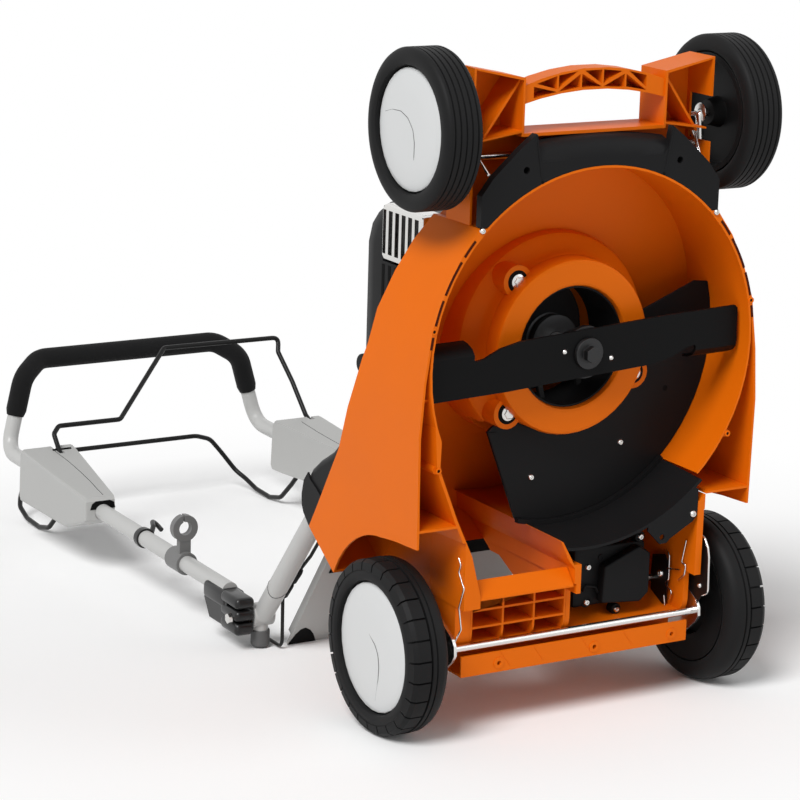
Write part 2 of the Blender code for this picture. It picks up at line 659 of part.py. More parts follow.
def pinion(name, side, parent):
    y, z = REAR_PIVOT
    teeth = 14
    outline = []
    for i in range(teeth * 4):
        turn = 2 * math.pi * i / (teeth * 4)
        r = PINION_R if i % 4 < 2 else PINION_R - 0.003
        outline.append((y + r * math.sin(turn), z + r * math.cos(turn)))
    low, high = sorted((side * 0.2175, side * 0.2285))
    gear = prism(name, outline, "x", low, high)
    return part(gear, STEEL, parent, 1.0, 0.35)


# height adjustment and wheels
def rear_frame(parent):
    """Side plates with axle stubs, joined by the cross rod; they swing on the drive shaft line."""
    plate = [(-0.074, 0.000), (-0.068, -0.010), (-0.040, -0.034), (-0.020, -0.041), (0.006, -0.043),
             (0.034, -0.030), (0.045, -0.004), (0.034, 0.034), (0.014, 0.052), (-0.008, 0.054),
             (-0.034, 0.040), (-0.066, 0.022), (-0.073, 0.012)]
    frame = prism("rear_frame", plate, "x", 0.186, 0.190)
    other = prism("rear_frame_right", plate, "x", -0.190, -0.186)
    join(frame, rod("cross_rod", (-0.188, -0.060, 0.004), (0.188, -0.060, 0.004), ROD_R, 20))
    join(frame, other)
    y, z = REAR_PIVOT
    for side in (1, -1):
        join(frame, rod(f"axle_stub_{side}", (side * 0.188, 0, 0), (side * 0.2555, 0, 0), 0.006, 20))
        cut(frame, rod(f"plate_hole_{side}", (side * 0.18, y, z), (side * 0.20, y, z), SHAFT_R + GAP, 20))
    return part(frame, STEEL, parent, 1.0, 0.3, 35)


def height_lever(parent):
    bar = [(0.010, 0.026), (0.030, 0.020), (0.190, -0.088), (0.198, -0.076), (0.040, 0.032), (0.012, 0.050),
           (0.002, 0.046)]
    lever = prism("height_lever", bar, "x", 0.1903, 0.1933)
    y, z = REAR_PIVOT
    cut(lever, rod("lever_hole", (0.18, y, z), (0.20, y, z), SHAFT_R + GAP, 20))
    knob = rod("lever_knob", (0.181, 0.194, -0.082), (0.206, 0.194, -0.082), 0.011, 20)
    join(lever, knob)
    return part(lever, BLACK, parent)


def front_axle(parent):
    """One bent bar: cross shaft, cranks outside the frame, wheel stubs."""
    py, pz = FRONT_PIVOT
    ay, az = FRONT_AXLE
    crank = 0.1872
    half = [(0.0, py, pz), (crank, py, pz), (crank, ay, az), (0.2345, ay, az)]
    path = rounded([(-x, y, z) for x, y, z in reversed(half)] + half[1:], 0.0056, 4)
    bar = tube("front_axle", path, ROD_R, 5)
    return part(bar, STEEL, parent, 1.0, 0.25, 35)


def wheel(name, side, x, at, radius, width, bore, cap_r, gear, parent):
    """Tyre, hub and cap about a wheel axis; gear is the radius of a toothed inner cavity."""
    y, z = at
    half = width / 2
    start = (side * x, y, z)
    end = (side * (x + 1.0), y, z)
    bead = bore + 0.002
    tyre = turned(f"tyre_{name}", [
        (bead, half * 0.80), (bead + 0.008, half), (radius - 0.008, half * 0.92), (radius, half * 0.66),
        (radius, -half * 0.66), (radius - 0.008, -half * 0.92), (bead + 0.008, -half), (bead, -half * 0.80)],
        start, end, 32)
    part(tyre, RUBBER, parent, 0.0, 0.8, 40)
    face = half - 0.010
    back = 0.002 - half
    rim = bead - GAP
    if gear:
        profile = [(0.0, face), (rim, face), (rim, back), (gear, back), (gear, -0.010), (0.012, -0.010),
                   (0.012, -0.016), (0.0063, -0.016), (0.0063, 0.0135), (0.0, 0.0135)]
    else:
        profile = [(0.0, face), (rim, face), (rim, back), (rim - 0.008, back), (rim - 0.012, -0.006),
                   (0.020, -0.006), (0.016, back + 0.001), (0.0053, back + 0.001), (0.0053, 0.0135),
                   (0.0, 0.0135)]
    hub = turned(f"hub_{name}", profile, start, end, 32)
    part(hub, BLACK, parent, 0.0, 0.5, 30)
    cap = turned(f"cap_{name}", [
        (0.0, half - 0.0005), (cap_r * 0.55, half - 0.001), (cap_r * 0.88, half - 0.0035),
        (cap_r, half - 0.007), (cap_r, face + GAP), (0.0, face + GAP)], start, end, 32)
    part(cap, CAP_GREY, parent, 0.0, 0.45, 30)


# blade and engine
def blade(parent):
    """Flat bar with a notch beside each rolled-up wing."""
    half = BLADE_HALF
    end = [(-0.100, 0.0265), (-0.130, 0.0205), (-0.153, 0.0105), (-0.165, 0.0085), (-0.168, 0.0115),
           (-half, 0.0115), (-half, -0.033), (0.004 - half, -0.037), (-0.120, -0.0355)]
    outline = end + [(-x, -z) for x, z in end]
    bar = prism("blade", [(x, RING_Z + z) for x, z in outline], "y", BLADE_Y - 0.002, BLADE_Y + 0.002)
    for side in (1, -1):
        roll = [(-0.0019, 0.0060), (-0.0019, 0.0160), (0.0040, 0.0235), (0.0160, 0.0285), (0.0270, 0.0300),
                (0.0270, 0.0268), (0.0180, 0.0255), (0.0065, 0.0205), (0.0019, 0.0145), (0.0019, 0.0060)]
        wing = [(BLADE_Y + y, RING_Z - side * z) for y, z in roll]
        low, high = sorted((side * 0.167, side * (half - 0.0005)))
        join(bar, prism(f"blade_wing_{side}", wing, "x", low, high))
    cut(bar, rod("blade_hole", (0, -0.1, RING_Z), (0, 0.0, RING_Z), 0.0053, 20))
    bar.matrix_basis = turn_about_crank() @ bar.matrix_basis
    for step in bar.modifiers:
        step.object.matrix_basis = turn_about_crank() @ step.object.matrix_basis
    return part(bar, BLACK, parent, 0.6, 0.35)


def turn_about_crank():
    here = Matrix.Translation((0, 0, RING_Z))
    return here @ Matrix.Rotation(BLADE_TURN, 4, "Y") @ here.inverted()


BLADE_TURN = math.radians(-1.5)


def crank_line(parent):
    """Crankshaft, blade carrier and bolt."""
    shaft = rod("crankshaft", (0, -0.050, RING_Z), (0, 0.100, RING_Z), CRANK_R, 24)
    cut(shaft, rod("crank_bore", (0, -0.060, RING_Z), (0, -0.024, RING_Z), 0.0053, 16))
    part(shaft, STEEL, parent, 1.0, 0.35, 35)
    top = BLADE_Y + 0.002 + GAP
    profile = [(CRANK_R + GAP, -0.022), (0.022, -0.022), (0.024, -0.045), (0.034, -0.050), (0.034, top),
               (0.0065, top), (0.0065, -0.0503), (CRANK_R + GAP, -0.0503)]
    carrier = turned("blade_carrier", profile, (0, 0, RING_Z), (0, 1, RING_Z), 24)
    part(carrier, DARK_STEEL, parent, 1.0, 0.45, 35)
    head = BLADE_Y - 0.002 - GAP
    washer = [(0.0, -0.026), (0.005, -0.026), (0.005, head), (0.021, head), (0.020, head - 0.0045),
              (0.0, head - 0.0045)]
    bolt = turned("blade_bolt", washer, (0, 0, RING_Z), (0, 1, RING_Z), 24)
    join(bolt, rod("bolt_head", (0, head - 0.004, RING_Z), (0, head - 0.0135, RING_Z), 0.0110, 6))
    part(bolt, STEEL, parent, 1.0, 0.3, 35)


def engine():
    z = RING_Z
    base = PLATFORM_Y + GAP
    block_ = rod("engine_block", (0, base, z), (0, base + 0.016, z), 0.134, 40)
    join(block_, block("crankcase", (-0.095, base + 0.010, 0.275), (0.095, 0.220, 0.450)))
    join(block_, rod("cylinder_barrel", (0.0, 0.150, 0.440), (0.0, 0.150, 0.488), 0.045, 24))
    join(block_, rod("exhaust_stub", (-0.038, 0.155, 0.472), (-0.060 + GAP, 0.155, 0.472), 0.010, 16))
    join(block_, rod("oil_filler", (-0.090, 0.186, 0.320), (-0.170, 0.186, 0.320), 0.0125, 20))
    cut(block_, rod("crank_seat", (0, base - 0.01, z), (0, 0.102, z), CRANK_R + GAP, 24))
    cut(block_, rod("oil_mouth", (-0.160, 0.186, 0.320), (-0.180, 0.186, 0.320), 0.0085, 16))
    part(block_, (0.03, 0.03, 0.032), None, 0.3, 0.5)

    hood = block("engine_hood", (-0.130, 0.100, 0.190), (0.130, 0.318, 0.522))
    bevel = hood.modifiers.new("edges", "BEVEL")
    bevel.width = 0.060
    bevel.segments = 4
    inside = block("hood_inside", (-0.1265, 0.080, 0.1935), (0.1265, 0.3145, 0.5185))
    bevel = inside.modifiers.new("edges", "BEVEL")
    bevel.width = 0.0565
    bevel.segments = 4
    cut(hood, inside)
    clear = [(y + GAP, z) for z, y in TOP]
    low = [(-0.1, 0.64), (TOP[0][1] + GAP, 0.64), *clear, (0.27, 0.0), (-0.1, 0.0)]
    cut(hood, prism("hood_foot", low, "x", -0.2, 0.2))
    cut(hood, rod("filler_gap", (-0.05, 0.186, 0.320), (-0.2, 0.186, 0.320), 0.0150, 20))
    cut(hood, block("muffler_notch", (-0.200, 0.050, 0.444), (-0.055, 0.235, 0.560)))
    cut(hood, rod("filter_mouth", (0.1, 0.190, 0.380), (0.2, 0.190, 0.380), 0.0300, 24))
    cut(hood, rod("fuel_mouth", (0.045, 0.25, FUEL_Z), (0.045, 0.4, FUEL_Z), 0.0228, 24))
    cut(hood, block("rope_mouth", (-0.006, 0.2, 0.300), (0.006, 0.4, 0.310)))
    part(hood, BLACK)

    grip = block("starter_grip", (-0.034, 0.3183, 0.2945), (0.034, 0.338, 0.3155))
    bevel = grip.modifiers.new("edges", "BEVEL")
    bevel.width = 0.006
    bevel.segments = 3
    slide = empty("starter_slide", (0.0, 0.318, 0.305), MOWER)
    part(grip, BLACK, slide)

    filter_ = turned("air_filter", [(0.0, 0.060), (0.022, 0.060), (0.028, 0.052), (0.0295, 0.0), (0.0, 0.0)],
                     (0.095 + GAP, 0.190, 0.380), (1.0, 0.190, 0.380), 28)
    part(filter_, BLACK, None, 0.0, 0.5, 30)

    spin = empty("fuel_cap_spin", (0.045, 0.318, FUEL_Z), MOWER)
    profile = [(0.0, 0.0125), (0.022, 0.0125), (0.0255, 0.009), (0.0255, GAP), (0.0222, GAP),
               (0.0222, -0.016), (0.0, -0.016)]
    cap = turned("fuel_cap", profile, (0.045, 0.318, FUEL_Z), (0.045, 1.0, FUEL_Z), 24)
    part(cap, BLACK, spin, 0.0, 0.5, 30)
    spin = empty("oil_cap_spin", (-0.170, 0.186, 0.320), MOWER)
    profile = [(0.0, 0.0175), (0.0115, 0.0175), (0.0135, 0.0155), (0.0135, 0.0003), (0.0081, 0.0003),
               (0.0081, -0.009), (0.0, -0.009)]
    cap = turned("oil_cap", profile, (-0.170, 0.186, 0.320), (-1.0, 0.186, 0.320), 24)
    part(cap, BLACK, spin, 0.0, 0.5, 30)

    muffler = block("muffler", (-0.132, 0.105, 0.456), (-0.060, 0.205, 0.524))
    bevel = muffler.modifiers.new("edges", "BEVEL")
    bevel.width = 0.012
    bevel.segments = 3
    part(muffler, DARK_STEEL, None, 1.0, 0.5)
    guard = block("muffler_guard", (-0.1500, 0.1017, 0.4527), (-0.1120, 0.2083, 0.5273))
    bevel = guard.modifiers.new("edges", "BEVEL")
    bevel.width = 0.007
    bevel.segments = 2
    cut(guard, block("guard_inside", (-0.1480, 0.105 - GAP, 0.456 - GAP), (-0.100, 0.205 + GAP, 0.524 + GAP)))
    slots = [((-0.2, 0.112 + i * 0.0165, 0.462), (-0.14, 0.122 + i * 0.0165, 0.520)) for i in range(6)]
    cut(guard, blocks("guard_slots", slots))
    part(guard, STEEL, None, 1.0, 0.35)


# flap
def discharge_flap(parent):
    """Grey flap hanging from its pin, leaning on the floor."""
    y, z = FLAP_HINGE
    turn = math.atan2(-0.812, 0.583)
    pin = rod("flap_pin", (-0.1772, y, z), (0.1772, y, z), 0.003, 16)
    part(pin, STEEL, None, 1.0, 0.3, 35)
    place = Matrix.Translation((0, y, z)) @ Matrix.Rotation(turn, 4, "X")
    plate = block("discharge_flap", (-0.169, 0.0, -0.002), (0.169, FLAP_LENGTH, 0.002))
    pieces = [rod("flap_barrel", (-0.169, 0, 0), (0.169, 0, 0), 0.007, 20),
              blocks("flap_sides", [((-0.1688, 0.002, -0.001), (-0.165, FLAP_LENGTH - 0.020, 0.010)),
                                    ((0.165, 0.002, -0.001), (0.1688, FLAP_LENGTH - 0.020, 0.010))])]
    cuts = [rod("flap_bore", (-0.2, 0, 0), (0.2, 0, 0), 0.0033, 16),
            block("flap_slot", (-0.120, -0.02, -0.02), (0.120, 0.012, 0.02))]
    for obj in (plate, *pieces, *cuts):
        obj.matrix_basis = place @ obj.matrix_basis
    for obj in pieces:
        join(plate, obj)
    for obj in cuts:
        cut(plate, obj)
    return part(plate, GREY, parent)


# handle
def mono_point(along, x=MONO_X, out=0.0):
    """A point on the lower handlebar's line, a distance down from its top end."""
    run = Vector((MONO_END[0] - MONO_TOP[0], MONO_END[1] - MONO_TOP[1])).normalized()
    y = MONO_TOP[0] + run[0] * along - run[1] * out
    z = MONO_TOP[1] + run[1] * along + run[0] * out
    return (x, y, z)


def lower_handle():
    base = [(0.150, 0.160), (0.105, 0.2300), (0.110, 0.248), (0.1334, 0.2545), (0.1618, 0.2379),
            (0.2004, 0.2019), (0.2324, 0.1829), (0.2550, 0.1655), (0.2690, 0.1470), (0.2741, 0.1262),
            (0.2735, 0.1120), (0.2681, 0.1012), (0.2531, 0.0872), (0.2414, 0.0792), (0.2320, 0.0850),
            (0.1980, 0.1060)]
    pod = prism("handle_base", base, "x", -0.222, -0.1795)
    bevel = pod.modifiers.new("edges", "BEVEL")
    bevel.width = 0.012
    bevel.segments = 3
    bevel.limit_method = "ANGLE"
    bevel.angle_limit = math.radians(60)
    under = [(y + GAP, z) for z, y in TOP]
    cut(pod, prism("pod_foot", [(-0.1, 0.64), *under, (0.1915 + GAP, 0.100), (-0.1, 0.100)], "x", -0.3, -0.1))
    cut(pod, rod("pod_bore", mono_point(-0.0005), mono_point(0.6), MONO_R + GAP, 24))
    cable_way = [mono_point(s, -0.1868) for s in (0.045, 0.6)]
    cut(pod, rod("pod_cable_bore", *cable_way, 0.0025 + GAP, 10))
    part(pod, BLACK)

    bar = rod("lower_handlebar", mono_point(0.0), mono_point(0.351), MONO_R, 28)
    y, z = KNUCKLE
    join(bar, rod("knuckle_barrel", (-0.221, y, z), (-0.190, y, z), 0.0170, 28))
    join(bar, rod("prop_leg", (-0.2055, y - 0.001, z), (-0.2055, y - 0.001, -0.1215), 0.0110, 20))
    cut(bar, rod("knuckle_bore", (-0.3, y, z), (-0.1, y, z), 0.0043, 20))
    part(bar, GREY, None, 0.1, 0.45, 35)

    floor_z = -0.1372
    profile = [(0.0113, -0.112), (0.0135, -0.112), (0.0135, floor_z + 0.004), (0.0105, floor_z + 0.0006),
               (0.006, floor_z), (0.0, floor_z), (0.0, -0.1218), (0.0113, -0.1218)]
    foot = turned("handle_foot", profile, (-0.2055, y - 0.001, 0), (-0.2055, y - 0.001, 1), 24)
    part(foot, BLACK, None, 0.0, 0.6, 35)

    # clip holding the cable on the bar
    way = [mono_point(0.262), mono_point(0.284)]
    clip = rod("cable_clip", *way, MONO_R + 0.003, 24)
    middle = mono_point(0.273)
    lug = block("clip_lug", (-0.0105, -0.0065, -0.0108), (0.0105, 0.0065, 0.0108))
    lug.matrix_basis = frame_along((-0.1892, *middle[1:]), (-0.1892, *mono_point(1.0)[1:])) @ lug.matrix_basis
    join(clip, lug)
    cut(clip, rod("clip_bore", mono_point(0.24), mono_point(0.31), MONO_R + GAP, 24))
    cut(clip, rod("clip_cable_bore", mono_point(0.24, -0.1868), mono_point(0.31, -0.1868), 0.0025 + GAP, 12))
    part(clip, BLACK)

    side = -0.1868
    path = [mono_point(0.050, side), mono_point(0.315, side), (-0.1855, 0.3905, -0.1335),
            (-0.1855, 0.4410, -0.1335), (-0.1855, 0.4410, -0.1080)]
    part(tube("cable_lower", rounded(path, 0.014, 4), 0.0025, 2), BLACK, None, 0.0, 0.5, 40)


def bar_line():
    """Corner points of the upper handlebar: arm, jog, left leg and half of the grip bow."""
    left = BAR_X - LEG_HALF
    return [(ARM_X, 0.462, ARM_Z), (ARM_X, 0.935, ARM_Z), (left, 0.985, -0.070), (left, 1.302, -0.070),
            (BAR_X - 0.200, 1.309, 0.050), (BAR_X - 0.163, 1.331, 0.0735)]


def across(point):
    """The same point on the other leg."""
    return (2 * BAR_X - point[0], point[1], point[2])


def upper_handle(parent):
    line = bar_line()
    bend, shoulder, corner = (Vector(p) for p in line[3:])
    far_leg = (BAR_X + LEG_HALF, 1.022, -0.070)
    path = line + [across(p) for p in reversed(line[3:])] + [far_leg]
    bar = tube("upper_handlebar", rounded(path, 0.038, 4), TUBE_R, 5)
    part(bar, GREY, parent, 0.1, 0.45, 40)
    bow = []
    for share in (0.480, 0.430):
        start = bend.lerp(shoulder, share)
        half = [tuple(start), tuple(shoulder), tuple(corner)]
        bow.append(rounded(half + [across(p) for p in reversed(half)], 0.038, 4))
    grip = tube("grip", bow[0], GRIP_R, 5)
    cut(grip, tube("grip_bore", bow[1], TUBE_R + BORE_PLAY, 7))
    part(grip, BLACK, parent, 0.0, 0.9, 40)

    # clamp block with the fold bolt
    y, z = KNUCKLE
    outline = [(0.452, -0.050), (0.535, -0.050), (0.535, -0.086), (0.505, -0.114), (0.414, -0.114),
               (0.405, -0.106), (0.405, -0.099), (0.411, -0.0945), (0.411, -0.0855), (0.405, -0.081),
               (0.405, -0.074), (0.414, -0.067), (0.444, -0.066)]
    clamp = prism("clamp_block", outline, "x", -0.2515, -0.2215)
    join(clamp, block("clamp_sleeve", (-0.2500, 0.461, -0.0850), (-0.2170, 0.534, -0.0500)))
    cut(clamp, rod("clamp_bore", (ARM_X, 0.4617, ARM_Z), (ARM_X, 0.6, ARM_Z), TUBE_R + GAP, 24))
    cut(clamp, rod("clamp_bolt_bore", (-0.3, y, z), (-0.1, y, z), 0.0043, 20))
    part(clamp, BLACK, parent)
    bolt = rod("hinge_bolt", (-0.2565, y, z), (-0.1870, y, z), 0.0040, 20)
    join(bolt, rod("bolt_head_a", (-0.2518, y, z), (-0.2575, y, z), 0.0075, 6))
    join(bolt, rod("bolt_head_b", (-0.1897, y, z), (-0.1860, y, z), 0.0070, 6))
    part(bolt, STEEL, parent, 1.0, 0.3)

    # rope guide on the arm
    ring_y, ring_z = 0.611, -0.013
    guide = rod("rope_guide", (ARM_X, ring_y - 0.0055, ring_z), (ARM_X, ring_y + 0.0055, ring_z), 0.020, 28)
    neck = (ARM_X + 0.0090, ring_y + 0.0050, -0.028)
    join(guide, block("guide_neck", (ARM_X - 0.0090, ring_y - 0.0050, -0.055), neck))
    join(guide, rod("guide_clamp", (ARM_X, 0.600, ARM_Z), (ARM_X, 0.640, ARM_Z), 0.0170, 24))
    cut(guide, rod("guide_bore", (ARM_X, 0.55, ARM_Z), (ARM_X, 0.70, ARM_Z), TUBE_R + GAP, 24))
    cut(guide, rod("guide_eye", (ARM_X, ring_y - 0.02, ring_z), (ARM_X, ring_y + 0.02, ring_z), 0.010, 20))
    slot = (ARM_X - 0.001, ring_y + 0.02, 0.02)
    cut(guide, block("guide_slot", (ARM_X - 0.0035, ring_y - 0.02, ring_z + 0.004), slot))
    part(guide, GREY, parent)
    cable_x = ARM_X + TUBE_R + 0.0028
    cable_z = ARM_Z - 0.002
    path = [(cable_x, 0.5345, cable_z), (cable_x, 0.572, cable_z), (cable_x + 0.005, 0.592, cable_z),
            (cable_x + 0.005, 0.648, cable_z), (cable_x, 0.668, cable_z), (cable_x, 0.8935, cable_z)]
    part(tube("cable_upper", rounded(path, 0.010, 3), 0.0025, 2), BLACK, parent, 0.0, 0.5, 40)


def housing(side, parent):
    """Handle housing; side -1 on the arm's leg, +1 on the free leg."""
    name = "left" if side > 0 else "right"
    outline = [(1.1445, -0.025), (1.151, -0.034), (1.156, -0.104), (1.150, -0.112), (0.973, -0.108),
               (0.900, -0.082), (0.894, -0.076), (0.894, -0.047), (0.900, -0.042)]
    outer = BAR_X + side * 0.274
    inner = BAR_X + side * 0.182
    shell = prism(f"housing_{name}", outline, "x", *sorted((outer, inner)))
    bevel = shell.modifiers.new("edges", "BEVEL")
    bevel.width = 0.006
    bevel.segments = 2
    bevel.limit_method = "ANGLE"
    bevel.angle_limit = math.radians(60)
    near = BAR_X + side * 0.226
    taper = [(inner, 1.160), (near, 0.880), (BAR_X + side * 0.150, 0.880), (BAR_X + side * 0.150, 1.160)]
    cut(shell, prism(f"housing_taper_{name}", taper, "z", -0.2, 0.1))
    if side < 0:
        leg = rounded(bar_line()[:4], 0.038, 4)
    else:
        leg = [(BAR_X + LEG_HALF, 1.0217, -0.070), (BAR_X + LEG_HALF, 1.3, -0.070)]
    cut(shell, tube(f"housing_bore_{name}", leg, TUBE_R + BORE_PLAY, 7))

    # slots for the two bail wires, wide enough for their swing
    stop_x = -0.205 if side < 0 else 0.262
    stop_out = stop_x + side * 0.019
    y, z = STOP_PIVOT
    swept = [math.radians(turn) for turn in STOP_SLOT[side]]
    far = [(y + 0.11 * math.cos(turn), z + 0.11 * math.sin(turn)) for turn in swept]
    spread = [(y - 0.002, z - 0.0055), *far, (y - 0.005, z + 0.004)]
    cut(shell, prism(f"stop_slot_{name}", spread, "x", stop_x - 0.0046, stop_x + 0.0046))
    cut(shell, rod(f"stop_seat_{name}", (stop_x - side * 0.0045, y, z), (stop_out, y, z), WIRE_R + GAP, 16))
    cut(shell, rod(f"stop_round_{name}", (stop_x - 0.0045, y, z), (stop_x + 0.0045, y, z), 0.0055, 16))
    drive_x = BAR_X + side * 0.2135
    y, z = DRIVE_PIVOT
    spread = [(y - 0.006, z - 0.003), (y - 0.006, z - 0.060), (y + 0.080, z - 0.060), (y + 0.060, z + 0.002),
              (y + 0.004, z + 0.005)]
    cut(shell, prism(f"drive_slot_{name}", spread, "x", drive_x - 0.0046, drive_x + 0.0046))
    cut(shell, rod(f"drive_round_{name}", (drive_x - 0.0045, y, z), (drive_x + 0.0045, y, z), 0.0055, 16))
    cut(shell, rod(f"drive_seat_{name}", (drive_x, y, z), (drive_x + side * 0.018, y, z), WIRE_R + GAP, 16))
    part(shell, GREY, parent)


STOP_SLOT = {-1: (22.0, 58.0), 1: (-2.0, 32.0)}


def stop_bail(parent):
    y, z = STOP_PIVOT
    points = [(-0.2225, y, z), (-0.205, y, z), (-0.205, 1.143, -0.0045), (-0.1925, 1.153, 0.005),
              (-0.084, 1.152, 0.005), (0.041, 1.250, 0.092), (0.258, 1.252, 0.090), (0.2515, 1.240, 0.068),
              (0.260, 1.203, 0.024), (0.262, 1.156, -0.0245), (0.262, y, z), (0.2795, y, z)]
    wire = tube("stop_bail", rounded(points, 0.0062, 3), WIRE_R, 3)
    part(wire, BLACK, parent, 0.2, 0.4, 40)


def drive_bail(parent):
    y, z = DRIVE_PIVOT
    half = [(0.2300, y, z), (0.2135, y, z), (0.2135, 1.135, -0.138), (0.2135, 1.172, -0.170),
            (0.2135, 1.212, -0.1795), (0.2135, 1.262, -0.1780), (0.211, 1.298, -0.168), (0.202, 1.318, -0.158),
            (0.182, 1.338, -0.126), (0.160, 1.336, -0.101), (0.128, 1.326, -0.0895)]
    points = [(BAR_X - x, y, z) for x, y, z in half] + [(BAR_X + x, y, z) for x, y, z in reversed(half)]
    wire = tube("drive_bail", rounded(points, 0.0062, 3), WIRE_R, 3)
    part(wire, BLACK, parent, 0.2, 0.4, 40)


# the mower, put together
deck_shell()
front_frame()
front_skirt()
rear_skirt()
belt_cover()
chute_ramp()
rear_lip()
gearbox()

crank = empty("crank_spin", (0.0, 0.0, RING_Z), MOWER)
blade(crank)
crank_line(crank)
v_pulley("crank_pulley", 0.0, RING_Z, CRANK_PULLEY_R, CRANK_R + GAP, BELT_Y - 0.010, crank)
box_input = empty("gearbox_spin", (BOX_PULLEY[0], 0.0, BOX_PULLEY[1]), MOWER)
v_pulley("gearbox_pulley", *BOX_PULLEY, BOX_PULLEY_R, 0.0, BELT_Y - 0.0087, box_input, 0.006)
v_belt()
shaft_spin = empty("shaft_spin", (0.0, *REAR_PIVOT), MOWER)
drive_shaft(shaft_spin)

rear_swing = empty("rear_swing", (0.0, *REAR_PIVOT), MOWER)
rear_frame(rear_swing)
height_lever(rear_swing)
front_swing = empty("front_swing", (0.0, *FRONT_PIVOT), MOWER)
front_axle(front_swing)
for hand, side in (("left", 1), ("right", -1)):
    spin = empty(f"pinion_spin_{hand}", (side * 0.223, *REAR_PIVOT), MOWER)
    pinion(f"pinion_{hand}", side, spin)
    spin = empty(f"rear_spin_{hand}", (side * REAR_X, 0.0, 0.0), rear_swing)
    wheel(f"rear_{hand}", side, REAR_X, (0.0, 0.0), REAR_R, REAR_W, 0.0835, 0.0836, RING_GEAR_R, spin)
    spin = empty(f"front_spin_{hand}", (side * FRONT_X, *FRONT_AXLE), front_swing)
    wheel(f"front_{hand}", side, FRONT_X, FRONT_AXLE, FRONT_R, FRONT_W, 0.0755, 0.0754, 0.0, spin)

engine()
flap_swing = empty("flap_swing", (0.0, *FLAP_HINGE), MOWER)
discharge_flap(flap_swing)
lower_handle()
fold = empty("fold", (-0.2055, *KNUCKLE), MOWER)
upper_handle(fold)
for side in (-1, 1):
    housing(side, fold)
stop_swing = empty("stop_swing", (BAR_X, *STOP_PIVOT), fold)
stop_bail(stop_swing)
drive_swing = empty("drive_swing", (BAR_X, *DRIVE_PIVOT), fold)
drive_bail(drive_swing)

MOWER.rotation_euler = (TILT, 0.0, 0.0)
MOWER.location = STANDS_AT
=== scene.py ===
"""Looks of a petrol walk-behind lawn mower, tipped back for cleaning.

Mower coordinates are x to the mower's left, y up from the blade deck and z forward, from the
middle of the rear axle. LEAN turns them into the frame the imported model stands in. Metres.
"""
import math

import bmesh
import bpy
from mathutils import Matrix, Vector


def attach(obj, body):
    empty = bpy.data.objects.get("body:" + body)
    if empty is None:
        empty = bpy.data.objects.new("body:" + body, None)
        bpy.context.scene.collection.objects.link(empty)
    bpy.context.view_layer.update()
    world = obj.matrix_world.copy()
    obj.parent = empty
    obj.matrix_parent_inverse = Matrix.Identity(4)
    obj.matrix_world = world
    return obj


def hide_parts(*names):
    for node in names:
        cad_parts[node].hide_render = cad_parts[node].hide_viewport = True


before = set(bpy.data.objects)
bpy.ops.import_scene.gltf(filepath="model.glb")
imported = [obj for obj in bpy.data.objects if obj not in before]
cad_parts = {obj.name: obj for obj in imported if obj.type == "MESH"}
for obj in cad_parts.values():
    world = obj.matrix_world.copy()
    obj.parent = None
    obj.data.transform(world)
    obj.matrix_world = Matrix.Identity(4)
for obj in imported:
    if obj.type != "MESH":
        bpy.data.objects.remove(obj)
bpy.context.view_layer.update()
LEAN = Matrix.Translation((-0.0075, -0.59436, 0.1134)) @ Matrix.Rotation(math.radians(3.27), 4, "X")

# Camera: a long lens low on the mower's right, looking at the open underside. Its place and
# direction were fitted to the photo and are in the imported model's frame.
CAMERA_AT = Vector((-1.99339, -3.62044, 1.12608))
LOOKS = Vector((0.49316, 0.84770, -0.19545))
lens = bpy.data.cameras.new("camera")
lens.sensor_width = 36.0
lens.lens = 128.70
lens.clip_end = 200.0
camera = bpy.data.objects.new("camera", lens)
bpy.context.scene.collection.objects.link(camera)
camera.location = CAMERA_AT
camera.rotation_euler = LOOKS.to_track_quat("-Z", "Y").to_euler()
bpy.context.scene.camera = camera

# Cable: one thin black sheathed wire that works the brake. It runs down the lower bar under a
# clip, makes a loop at the fold, and follows the arm up to the right-hand housing.
CABLE = 0.005
MONO_TOP = Vector((0.190, 0.1846))
MONO_RUN = Vector((0.2141, -0.2633)).normalized()
ARM_X = -0.232
ARM_Z = -0.065
ARM_RADIUS = 0.0125


